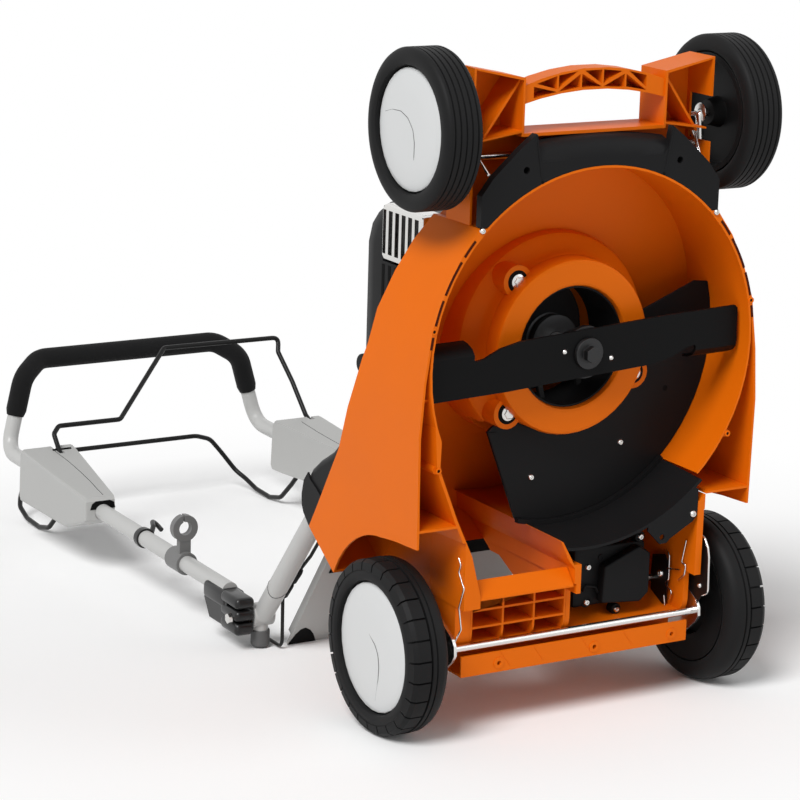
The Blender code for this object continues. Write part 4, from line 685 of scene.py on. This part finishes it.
springs = [[(0.1665, -0.0180, 0.0780), (0.1665, -0.0260, 0.0790), (0.1665, -0.0309, 0.0740),
            (0.1665, -0.0316, 0.0409), (0.1665, -0.0231, 0.0329), (0.1665, -0.0400, 0.0273),
            (0.1665, -0.0350, 0.0145)],
           [(0.1695, -0.0621, 0.1034), (0.1695, -0.0539, 0.0695), (0.1695, -0.0640, 0.0712),
            (0.1695, -0.0615, 0.0561), (0.1695, -0.0494, 0.0447)],
           [(0.1640, -0.0261, 0.0179), (0.1640, -0.0285, 0.0080), (0.1640, -0.0300, -0.0005)],
           [(0.1655, -0.0290, 0.0560), (0.1690, -0.0520, 0.0600)],
           [(-0.1830, -0.0660, 0.1262), (-0.1830, -0.0716, 0.1188), (-0.1830, -0.0674, 0.1085),
            (-0.1830, -0.0806, 0.0901), (-0.1830, -0.0704, 0.0622), (-0.1830, -0.0770, 0.0353),
            (-0.1830, -0.0593, 0.0099)]]
springs = [wire(rounded([Vector(p) for p in line], 0.004, 4), 0.0011) for line in springs]
piece("linkage_springs", together(*springs), STEEL, "chassis", "bright_steel")
washer = button([(0.0052, 0.0016), (0.0118, 0.0016), (0.0125, 0.0010), (0.0125, 0.0), (0.0052, 0.0)], 28)
washer_places = [((side * 0.1895, -0.0150, 0.6600), (-side, 0.0, 0.0)) for side in (-1, 1)]
set_out("front_axle_washers", washer, washer_places, STEEL, "front_axle_bar", "bright_steel")
thin = [wire([(0.1750, -0.0256, 0.6356), (0.1750, -0.0388, 0.6106)], 0.0013),
        wire([(-0.1680, -0.0560, 0.6260), (-0.1680, -0.0790, 0.6104)], 0.0020),
        wire(rounded([(0.1850, -0.0120, 0.6590), (0.1765, -0.0030, 0.6560),
                      (0.1760, -0.0360, 0.6095)], 0.008, 5), 0.0032)]
piece("front_axle_springs", together(*thin), STEEL, "chassis", "bright_steel")

# Wheels: moulded tyres on black plastic hubs with pale trim discs. Rear tyres have tread
# blocks on their outer half. Each disc has one curved step in its face, drawn as a thin dark line of
# painted shade.
TYRE = moulded("tyre_rubber", (0.0095, 0.0095, 0.0098), 0.55, shade=0.25, grain=700.0,
               depth=0.00006, gloss=0.12)
HUB = moulded("hub_plastic", (0.0060, 0.0060, 0.0062), 0.45, shade=0.2, depth=0.00004, gloss=0.12)
DISC = moulded("trim_disc", (0.62, 0.63, 0.63), 0.36, shade=0.05, depth=0.00002, coat=0.15)
CREASE_SHADE = moulded("disc_crease_shade", (0.12, 0.12, 0.12), 0.5)
FRONT = (0.222, -0.015, 0.6600)
REAR = (0.24275, 0.0, 0.0)
FRONT_R = 0.100
REAR_R = 0.1135
LUGS = 26


def ring_tree():
    """Copies of the incoming piece turned evenly about an axis."""
    tree = bpy.data.node_groups.new("copies_round_axis", "GeometryNodeTree")
    tree.interface.new_socket("Piece", in_out="INPUT", socket_type="NodeSocketGeometry")
    for name, kind in (("Count", "NodeSocketInt"), ("Centre", "NodeSocketVector"),
                       ("Axis", "NodeSocketVector"), ("Finish", "NodeSocketMaterial")):
        tree.interface.new_socket(name, in_out="INPUT", socket_type=kind)
    tree.interface.new_socket("Ring", in_out="OUTPUT", socket_type="NodeSocketGeometry")
    nodes, links = tree.nodes, tree.links
    given = nodes.new("NodeGroupInput")
    put = nodes.new("NodeGroupOutput")
    stack = nodes.new("GeometryNodeMeshLine")
    stack.inputs["Offset"].default_value = (0.0, 0.0, 0.0)
    links.new(given.outputs["Count"], stack.inputs["Count"])
    links.new(given.outputs["Centre"], stack.inputs["Start Location"])
    number = nodes.new("GeometryNodeInputIndex")
    share = nodes.new("ShaderNodeMath")
    share.operation = "DIVIDE"
    links.new(number.outputs[0], share.inputs[0])
    links.new(given.outputs["Count"], share.inputs[1])
    angle = nodes.new("ShaderNodeMath")
    angle.operation = "MULTIPLY"
    angle.inputs[1].default_value = math.tau
    links.new(share.outputs[0], angle.inputs[0])
    turn = nodes.new("FunctionNodeAxisAngleToRotation")
    links.new(given.outputs["Axis"], turn.inputs["Axis"])
    links.new(angle.outputs[0], turn.inputs["Angle"])
    copy = nodes.new("GeometryNodeInstanceOnPoints")
    links.new(stack.outputs["Mesh"], copy.inputs["Points"])
    links.new(given.outputs["Piece"], copy.inputs["Instance"])
    links.new(turn.outputs["Rotation"], copy.inputs["Rotation"])
    finish_off(tree, copy.outputs["Instances"], given, put)
    return tree


RING = ring_tree()


def tyre_lug(side):
    """One rear tread block at the top of the tyre, wrapped over its outer shoulder."""
    section = [(0.0015, 0.1085), (0.0030, 0.1131), (0.0205, 0.1131), (0.0262, 0.1095), (0.0281, 0.1000),
               (0.0262, 0.0985), (0.0240, 0.1040), (0.0200, 0.1085)]
    half = math.tau / LUGS / 2 * 0.91
    bm = bmesh.new()
    rows = []
    for i in range(5):
        turn = half * (i / 2 - 1)
        rows.append([bm.verts.new((side * x, r * math.cos(turn), r * math.sin(turn)))
                     for x, r in section])
    for row, after in zip(rows, rows[1:]):
        for j in range(len(section)):
            k = (j + 1) % len(section)
            bm.faces.new((row[j], row[k], after[k], after[j]))
    bm.faces.new(rows[0])
    bm.faces.new(rows[-1])
    return as_mesh(bm, 30)


def tyre(name, side, at, tread):
    """A tyre turned from its section about the wheel's axle, in place of its plain solid."""
    x, y, z = at
    mesh = spun(tread, (side * x, y, z), (side, 0.0, 0.0), 96, 35)
    piece(f"{name}_tyre", mesh, TYRE, f"wheel_{name}", "tyre_rubber", f"tyre_{name}")


def front_tread():
    """Front tyre section: flat tread with five round grooves, soft shoulders, plain side walls."""
    groove = []
    for middle in (0.016, 0.008, 0.0, -0.008, -0.016):
        groove += [(FRONT_R, middle + 0.0012), (FRONT_R - 0.0016, middle + 0.0006),
                   (FRONT_R - 0.0016, middle - 0.0006), (FRONT_R, middle - 0.0012)]
    outer = [(0.0775, 0.0200), (0.0790, 0.0240), (0.0830, 0.0258), (0.0900, 0.0256), (0.0950, 0.0245),
             (0.0985, 0.0222), (FRONT_R, 0.0195)]
    inner = [(r, -along) for r, along in reversed(outer)]
    return outer + groove + inner


def rear_tread():
    """Rear tyre section under its tread blocks: two round grooves on the inner half."""
    base = 0.1090
    outer = [(0.0855, 0.0220), (0.0870, 0.0262), (0.0910, 0.0280), (0.0985, 0.0272), (0.1050, 0.0248),
             (base, 0.0210)]
    inner = [(base, 0.0010), (REAR_R, 0.0002), (REAR_R, -0.0046), (REAR_R - 0.002, -0.0052),
             (REAR_R - 0.002, -0.0066), (REAR_R - 0.0004, -0.0072), (REAR_R - 0.0008, -0.0150),
             (0.1095, -0.0215), (0.1040, -0.0256), (0.0950, -0.0278), (0.0910, -0.0280),
             (0.0870, -0.0262), (0.0855, -0.0220)]
    return outer + inner


FRONT_ARC = [(0.0558, 0.0151, 0.0234), (0.0350, 0.0205, 0.0245), (0.0140, 0.0211, 0.0249),
             (-0.0033, 0.0150, 0.0251), (-0.0159, 0.0023, 0.0251), (-0.0200, -0.0130, 0.0251),
             (-0.0197, -0.0274, 0.0250), (-0.0153, -0.0623, 0.0226)]
REAR_ARC = [(0.0017, 0.0185, 0.0275), (-0.0142, 0.0088, 0.0275), (-0.0223, -0.0019, 0.0275),
            (-0.0252, -0.0180, 0.0275), (-0.0237, -0.0347, 0.0272), (-0.0142, -0.0662, 0.0252)]


def disc_crease_shade(side, at, arc):
    """The curved step across a trim disc, as a thin dark line of painted shade half sunk in its face."""
    x, y, z = at
    line = [(side * (x + out), y + up, z + on) for up, on, out in arc]
    return wire(rounded([Vector(p) for p in line], 0.02, 4), 0.00065, 6, 0.2)


for hand, side in (("left", 1), ("right", -1)):
    piece(f"front_{hand}_crease", disc_crease_shade(side, FRONT, FRONT_ARC), CREASE_SHADE, f"wheel_front_{hand}",
          "cap_plastic")
    piece(f"rear_{hand}_crease", disc_crease_shade(side, REAR, REAR_ARC), CREASE_SHADE, f"wheel_rear_{hand}",
          "cap_plastic")
    tyre(f"front_{hand}", side, FRONT, front_tread())
    tyre(f"rear_{hand}", side, REAR, rear_tread())
    lugs = grown(tyre_lug(side), RING, Count=LUGS, Centre=(side * REAR[0], 0.0, 0.0),
                 Axis=(1.0, 0.0, 0.0), Finish=TYRE)
    piece(f"rear_{hand}_tread", lugs, TYRE, f"wheel_rear_{hand}", "tyre_rubber")
    for end in ("front", "rear"):
        eased(f"hub_{end}_{hand}", HUB, 0.0005)
        eased(f"cap_{end}_{hand}", DISC, 0.0008)

# Blade: black-painted steel bar with turned-up wings, bolted to its carrier. Two steel pins
# beside the bolt keep the bar from turning on the carrier.
BLADE = metal("blade_paint", (0.0035, 0.0035, 0.0037), 0.38, (60.0, 60.0, 60.0), spread=0.10,
              metallic=0.0, gloss=0.08)
eased("blade", BLADE, 0.0006)
eased("blade_carrier", DARK_STEEL, 0.0005)
eased("blade_bolt", DARK_STEEL, 0.0006)
blade_pin = button([(0.0, 0.0022), (0.0018, 0.0019), (0.0031, 0.0008), (0.0034, 0.0), (0.0, 0.0)], 16)
pin_places = [((-0.035, -0.0620, 0.3755), DOWN), ((0.036, -0.0620, 0.3615), DOWN)]
set_out("blade_pins", blade_pin, pin_places, STEEL, "crank", "bright_steel")

# Engine: black aluminium block under a plastic hood, held to the deck by three flanged bolts.
# The muffler is dark sheet steel in a bright slotted guard.
ENGINE = metal("engine_casting", (0.035, 0.035, 0.037), 0.5, (200.0, 200.0, 200.0), spread=0.2,
               metallic=0.6)
eased("engine_block", ENGINE, 0.0010)
eased("engine_hood", BLACK, 0.0020)
for node in ("air_filter", "fuel_cap", "oil_cap", "starter_grip"):
    eased(node, BLACK, 0.0008)
eased("muffler", DARK_STEEL, 0.0008)
eased("muffler_guard", STEEL, 0.0004)
BOLT_CIRCLE = 0.117
BOLT_TURNS = (-41.0, -134.0, 113.5)
seats = [(round_ring(BOLT_CIRCLE, turn, -0.0120), DOWN) for turn in BOLT_TURNS]
# The seat round each bolt is a near-black disc of painted shade in its recess.
bolt_seat = button([(0.0, 0.0004), (0.0140, 0.0004), (0.0145, 0.0), (0.0, 0.0)], 28)
set_out("engine_bolt_seats", bolt_seat, seats, PAINTED_SHADE, "chassis", "black_plastic")
bolt_flange = button([(0.0, 0.0032), (0.0062, 0.0032), (0.0096, 0.0018), (0.0100, 0.0), (0.0, 0.0)], 28)
set_out("engine_bolt_flanges", bolt_flange, seats, STEEL, "chassis", "bright_steel")
bolt_head = button([(0.0, 0.0058), (0.0062, 0.0058), (0.0072, 0.0050), (0.0072, 0.0030),
                    (0.0, 0.0030)], 6, 20)
set_out("engine_bolt_heads", bolt_head, seats, STEEL, "chassis", "bright_steel")

# Engine fittings: recoil cover on the hood with its cooling slots, grip ribs on the fuel cap,
# side louvres, and a rubber boot with its lead on the spark plug in front. The cooling slots and
# louvres are near-black faces of painted shade.
UP = (0.0, 1.0, 0.0)
RECOIL_Z = 0.385
FUEL_CAP = (0.045, 0.0, 0.264)
recoil = spun([(0.0, 0.0070), (0.0180, 0.0070), (0.0210, 0.0056), (0.0460, 0.0052), (0.0510, 0.0030),
               (0.0520, 0.0), (0.0, 0.0)], (0.0, 0.3178, RECOIL_Z), UP, 64)
piece("recoil_cover", recoil, BLACK, "chassis", "black_plastic")
vane = slab([(-0.0011, 0.0250), (0.0011, 0.0250), (0.0017, 0.0445), (-0.0017, 0.0445)], 1, 0.3205, 0.3237)
vanes = grown(vane, RING, Count=28, Centre=(0.0, 0.0, RECOIL_Z), Axis=UP, Finish=PAINTED_SHADE)
piece("recoil_slots", vanes, PAINTED_SHADE, "chassis", "black_plastic")
rib = slab([(-0.0010, 0.0242), (0.0010, 0.0242), (0.0010, 0.0262), (-0.0010, 0.0262)], 1, 0.3190, 0.3300)
cap_ribs = grown(rib, RING, Count=24, Centre=FUEL_CAP, Axis=UP, Finish=BLACK)
piece("fuel_cap_ribs", cap_ribs, BLACK, "fuel_filler", "black_plastic")
louvres = []
for i in range(6):
    back = 0.150 + 0.016 * i
    front = 0.156 + 0.016 * i
    for side in (-1, 1):
        outline = [(back, 0.250), (front, 0.250), (front, 0.440), (back, 0.440)]
        louvres.append(slab(outline, 0, *sorted((side * 0.1296, side * 0.1305))))
piece("hood_louvres", together(*louvres), PAINTED_SHADE, "chassis", "black_plastic")
boot = spun([(0.0, 0.034), (0.0075, 0.034), (0.0090, 0.031), (0.0090, 0.012), (0.0110, 0.008),
             (0.0110, 0.0), (0.0, 0.0)], (0.0, 0.150, 0.4878), (0.0, 0.0, 1.0), 24)
lead_line = [(0.0, 0.150, 0.512), (0.022, 0.160, 0.518), (0.040, 0.200, 0.506), (0.048, 0.225, 0.480)]
lead = wire(rounded([Vector(p) for p in lead_line], 0.012, 5), 0.0035)
piece("spark_plug_boot", together(boot, lead), BLACK, "chassis", "black_plastic")

# Flap: pale plastic panel hanging from a steel pin behind the deck. Its upper half and one arch
# at its lower edge are painted shade: thin near-black faces laid on the panel.
GREY = moulded("grey_plastic", (0.43, 0.43, 0.42), 0.45, shade=0.06, grain=1000.0, gloss=0.2)
eased("discharge_flap", GREY, 0.0006)
eased("flap_pin", STEEL, 0.0002)
FLAP_HINGE = (0.0, 0.225, 0.118)
FLAP_ANGLE = math.atan2(-0.812, 0.583)
FLAP_TURN = Matrix.Translation(FLAP_HINGE) @ Matrix.Rotation(FLAP_ANGLE, 4, "X")
arch = slab([(-0.1690, 0.3122), (-0.1640, 0.2900), (-0.1590, 0.2790), (-0.1520, 0.2760),
             (-0.1420, 0.2830), (-0.1330, 0.2950), (-0.1240, 0.3122)], 2, -0.0025, -0.0015)
arch.transform(FLAP_TURN)
piece("flap_arch", arch, PAINTED_SHADE, "flap", "black_plastic")
inside = slab([(-0.158, 0.014), (0.158, 0.014), (0.158, 0.150), (-0.158, 0.150)], 2, -0.0030, -0.0021)
inside.transform(FLAP_TURN)
piece("flap_inside", inside, PAINTED_SHADE, "flap", "black_plastic")

# Lower handle: black pod on the deck, one pale powder-coated tube with a folding knuckle and a
# rubber foot. A joint line runs round its sleeve, and a clip holds the cable to its side.
TUBE = moulded("grey_powder_coat", (0.48, 0.48, 0.47), 0.32, shade=0.05, grain=1600.0,
               depth=0.00004, coat=0.1)
eased("handle_base", BLACK, 0.0060)
bulge = slab([(0.2560, 0.1600), (0.2672, 0.1465), (0.2722, 0.1262), (0.2716, 0.1125),
              (0.2664, 0.1020), (0.2515, 0.0885), (0.2400, 0.0815), (0.2090, 0.1290),
              (0.2310, 0.1430), (0.2500, 0.1520)], 0, -0.2240, -0.2215)
piece("handle_base_rim", bulge, BLACK, "chassis", "black_plastic")
SEAM_RADIUS = 0.0146
ACROSS = (0.7759, 0.6309)
seam = []
for i in range(25):
    turn = math.pi * (i / 12 - 1)
    x, y, z = mono_point(0.2880 + 0.0045 * math.sin(2 * turn), -0.205)
    out = SEAM_RADIUS * math.sin(turn)
    seam.append((x - SEAM_RADIUS * math.cos(turn), y - out * ACROSS[0], z - out * ACROSS[1]))
SEAM = moulded("joint_line", (0.05, 0.05, 0.05), 0.6)
piece("handlebar_sleeve_seam", wire(seam, 0.0005, 6), SEAM, "chassis", "grey_tube")
eased("lower_handlebar", TUBE, 0.0006)
FOOT = moulded("foot_rubber", (0.11, 0.11, 0.11), 0.6, depth=0.00004, gloss=0.15)
eased("handle_foot", FOOT, 0.0015)
lumps = [wire([mono_point(0.246, -0.1840), mono_point(0.251, -0.1850), mono_point(0.272, -0.1865),
               mono_point(0.276, -0.1870)], 0.0066, 10, 0.75),
         wire([mono_point(0.276, -0.1880), mono_point(0.282, -0.1890), mono_point(0.304, -0.1900),
               mono_point(0.310, -0.1895)], 0.0078, 10, 0.70)]
piece("cable_clip_body", together(*lumps), BLACK, "chassis", "black_plastic", "cable_clip")

# Upper handle: bent tube with a foam grip, two plastic housings and two coated wire bails. A
# forked clamp holds it to the knuckle, and a grey ring on the tube leads the starter rope.
FOAM = moulded("grip_foam", (0.0090, 0.0090, 0.0093), 0.85, shade=0.15, grain=1400.0,
               depth=0.0003, sheen=0.08, gloss=0.08)
WIRE_RADIUS = 0.0040
WIRE = moulded("bail_coating", (0.0045, 0.0045, 0.0045), 0.33, gloss=0.18)
CLAMP = moulded("clamp_plastic", (0.0080, 0.0080, 0.0084), 0.30, shade=0.2, depth=0.00004, coat=0.2)
GUIDE = moulded("rope_guide_plastic", (0.16, 0.16, 0.158), 0.40)
BAR_MIDDLE = 0.012
STOP_HINGE = (1.100, -0.050)
DRIVE_HINGE = (1.100, -0.104)


def mirrored(points):
    """A left half path and its reflection, joined across the middle of the handle."""
    return points + [(2 * BAR_MIDDLE - x, y, z) for x, y, z in reversed(points)]


bow = [(-0.219, 1.302, -0.070), (-0.188, 1.309, 0.050), (-0.151, 1.331, 0.0735)]
bar_path = [(ARM_X, 0.462, ARM_Z), (ARM_X, 0.935, ARM_Z), (-0.219, 0.985, -0.070)] + mirrored(bow)
bar = wire(rounded(bar_path + [(0.243, 1.022, -0.070)], 0.038, 10), ARM_RADIUS, 24)
piece("handlebar_tube", bar, TUBE, "upper_handle", "grey_tube", "upper_handlebar")
grip_path = rounded(mirrored([(-0.2041, 1.3054, -0.0124)] + bow[1:]), 0.038, 10)
grip_path.insert(1, grip_path[0].lerp(grip_path[1], 0.2))
grip_path.insert(-1, grip_path[-1].lerp(grip_path[-2], 0.2))
piece("grip_sleeve", wire(grip_path, 0.0168, 28, 0.84), FOAM, "upper_handle", "foam", "grip")


def rounded_box(low, high, width):
    """A box with round edges between two corners."""
    bm = bmesh.new()
    bmesh.ops.create_cube(bm, size=1.0)
    size = Vector(high) - Vector(low)
    middle = (Vector(high) + Vector(low)) / 2
    for vert in bm.verts:
        vert.co = Vector(a * b for a, b in zip(vert.co, size)) + middle
    bmesh.ops.bevel(bm, geom=bm.edges[:], offset=width, segments=4, profile=0.5, affect="EDGES")
    return as_mesh(bm, 30)


fingers = [rounded_box((-0.2515, 0.4035, low), (-0.2215, 0.4560, high), 0.0070)
           for low, high in ((-0.1140, -0.0955), (-0.0938, -0.0772), (-0.0756, -0.0590))]
sleeve = rounded_box((-0.2500, 0.4420, -0.0860), (-0.2165, 0.5140, -0.0605), 0.0070)
web = slab([(0.4480, -0.0640), (0.5060, -0.0640), (0.5100, -0.0850), (0.4930, -0.1100), (0.4400, -0.1100),
            (0.4400, -0.0660)], 0, -0.2485, -0.2245)
piece("clamp_fork", together(*fingers, sleeve, web), CLAMP, "upper_handle", "black_plastic",
      "clamp_block")
band = spun([(0.0124, -0.0060), (0.0152, -0.0055), (0.0156, 0.0), (0.0152, 0.0055), (0.0124, 0.0060)],
            (ARM_X, 0.7450, ARM_Z), UP, 32)
hook_line = [(-0.2200, 0.7450, -0.0600), (-0.2120, 0.7560, -0.0530), (-0.2060, 0.7720, -0.0500),
             (-0.1990, 0.7700, -0.0560), (-0.1985, 0.7560, -0.0600)]
hook = wire(rounded([Vector(p) for p in hook_line], 0.006, 5), 0.0038)
piece("cable_holder", together(band, hook), CLAMP, "upper_handle", "black_plastic")
top_line = [(-0.2130, 1.1240, -0.0264), (-0.2130, 1.1003, -0.0281), (-0.2128, 1.0693, -0.0302),
            (-0.2141, 1.0392, -0.0323), (-0.2155, 1.0137, -0.0341), (-0.2189, 0.9708, -0.0371),
            (-0.2235, 0.9333, -0.0397), (-0.2262, 0.9060, -0.0416)]
left_line = [(2 * BAR_MIDDLE - x, y, z) for x, y, z in top_line]
piece("housing_seams", together(wire(top_line, 0.0005, 6), wire(left_line, 0.0005, 6)), SEAM,
      "upper_handle", "grey_plastic")
# The mouths where the tube and wire enter the housings are near-black faces of painted shade.
mouths = [wire([(-0.2150, 1.1245, -0.0262), (-0.1835, 1.1245, -0.0262)], 0.0022, 8),
          slab([(-0.2530, -0.0600), (-0.2500, -0.0510), (-0.2440, -0.0470), (-0.2200, -0.0470),
                (-0.2130, -0.0510), (-0.2110, -0.0600)], 1, 0.8935, 0.8950)]
piece("housing_mouths", together(*mouths), PAINTED_SHADE, "upper_handle", "black_plastic")
eased("hinge_bolt", STEEL, 0.0004)
eased("rope_guide", GUIDE, 0.0008)
eased("housing_left", GREY, 0.0006)
eased("housing_right", GREY, 0.0006)
stop_path = [(-0.205, *STOP_HINGE), (-0.205, 1.143, -0.0045), (-0.1925, 1.153, 0.005),
             (-0.084, 1.152, 0.005), (0.041, 1.250, 0.092), (0.258, 1.252, 0.090),
             (0.2515, 1.240, 0.068), (0.260, 1.203, 0.024), (0.262, 1.156, -0.0245),
             (0.262, *STOP_HINGE)]
stop_path = [(-0.2225, *STOP_HINGE), *rounded(stop_path, 0.011, 6), (0.2795, *STOP_HINGE)]
piece("stop_wire", wire(stop_path, WIRE_RADIUS, 12), WIRE, "stop_lever", "black_plastic", "stop_bail")
half_loop = [(-0.2015, *DRIVE_HINGE), (-0.2015, 1.135, -0.138), (-0.2015, 1.172, -0.170),
             (-0.2015, 1.212, -0.1795), (-0.2015, 1.262, -0.1780), (-0.199, 1.298, -0.168),
             (-0.190, 1.318, -0.158), (-0.170, 1.338, -0.126), (-0.148, 1.336, -0.101),
             (-0.116, 1.326, -0.0895)]
drive_path = [(-0.218, *DRIVE_HINGE), *rounded(mirrored(half_loop), 0.035, 5), (0.242, *DRIVE_HINGE)]
piece("drive_wire", wire(drive_path, WIRE_RADIUS, 12), WIRE, "drive_lever", "black_plastic", "drive_bail")
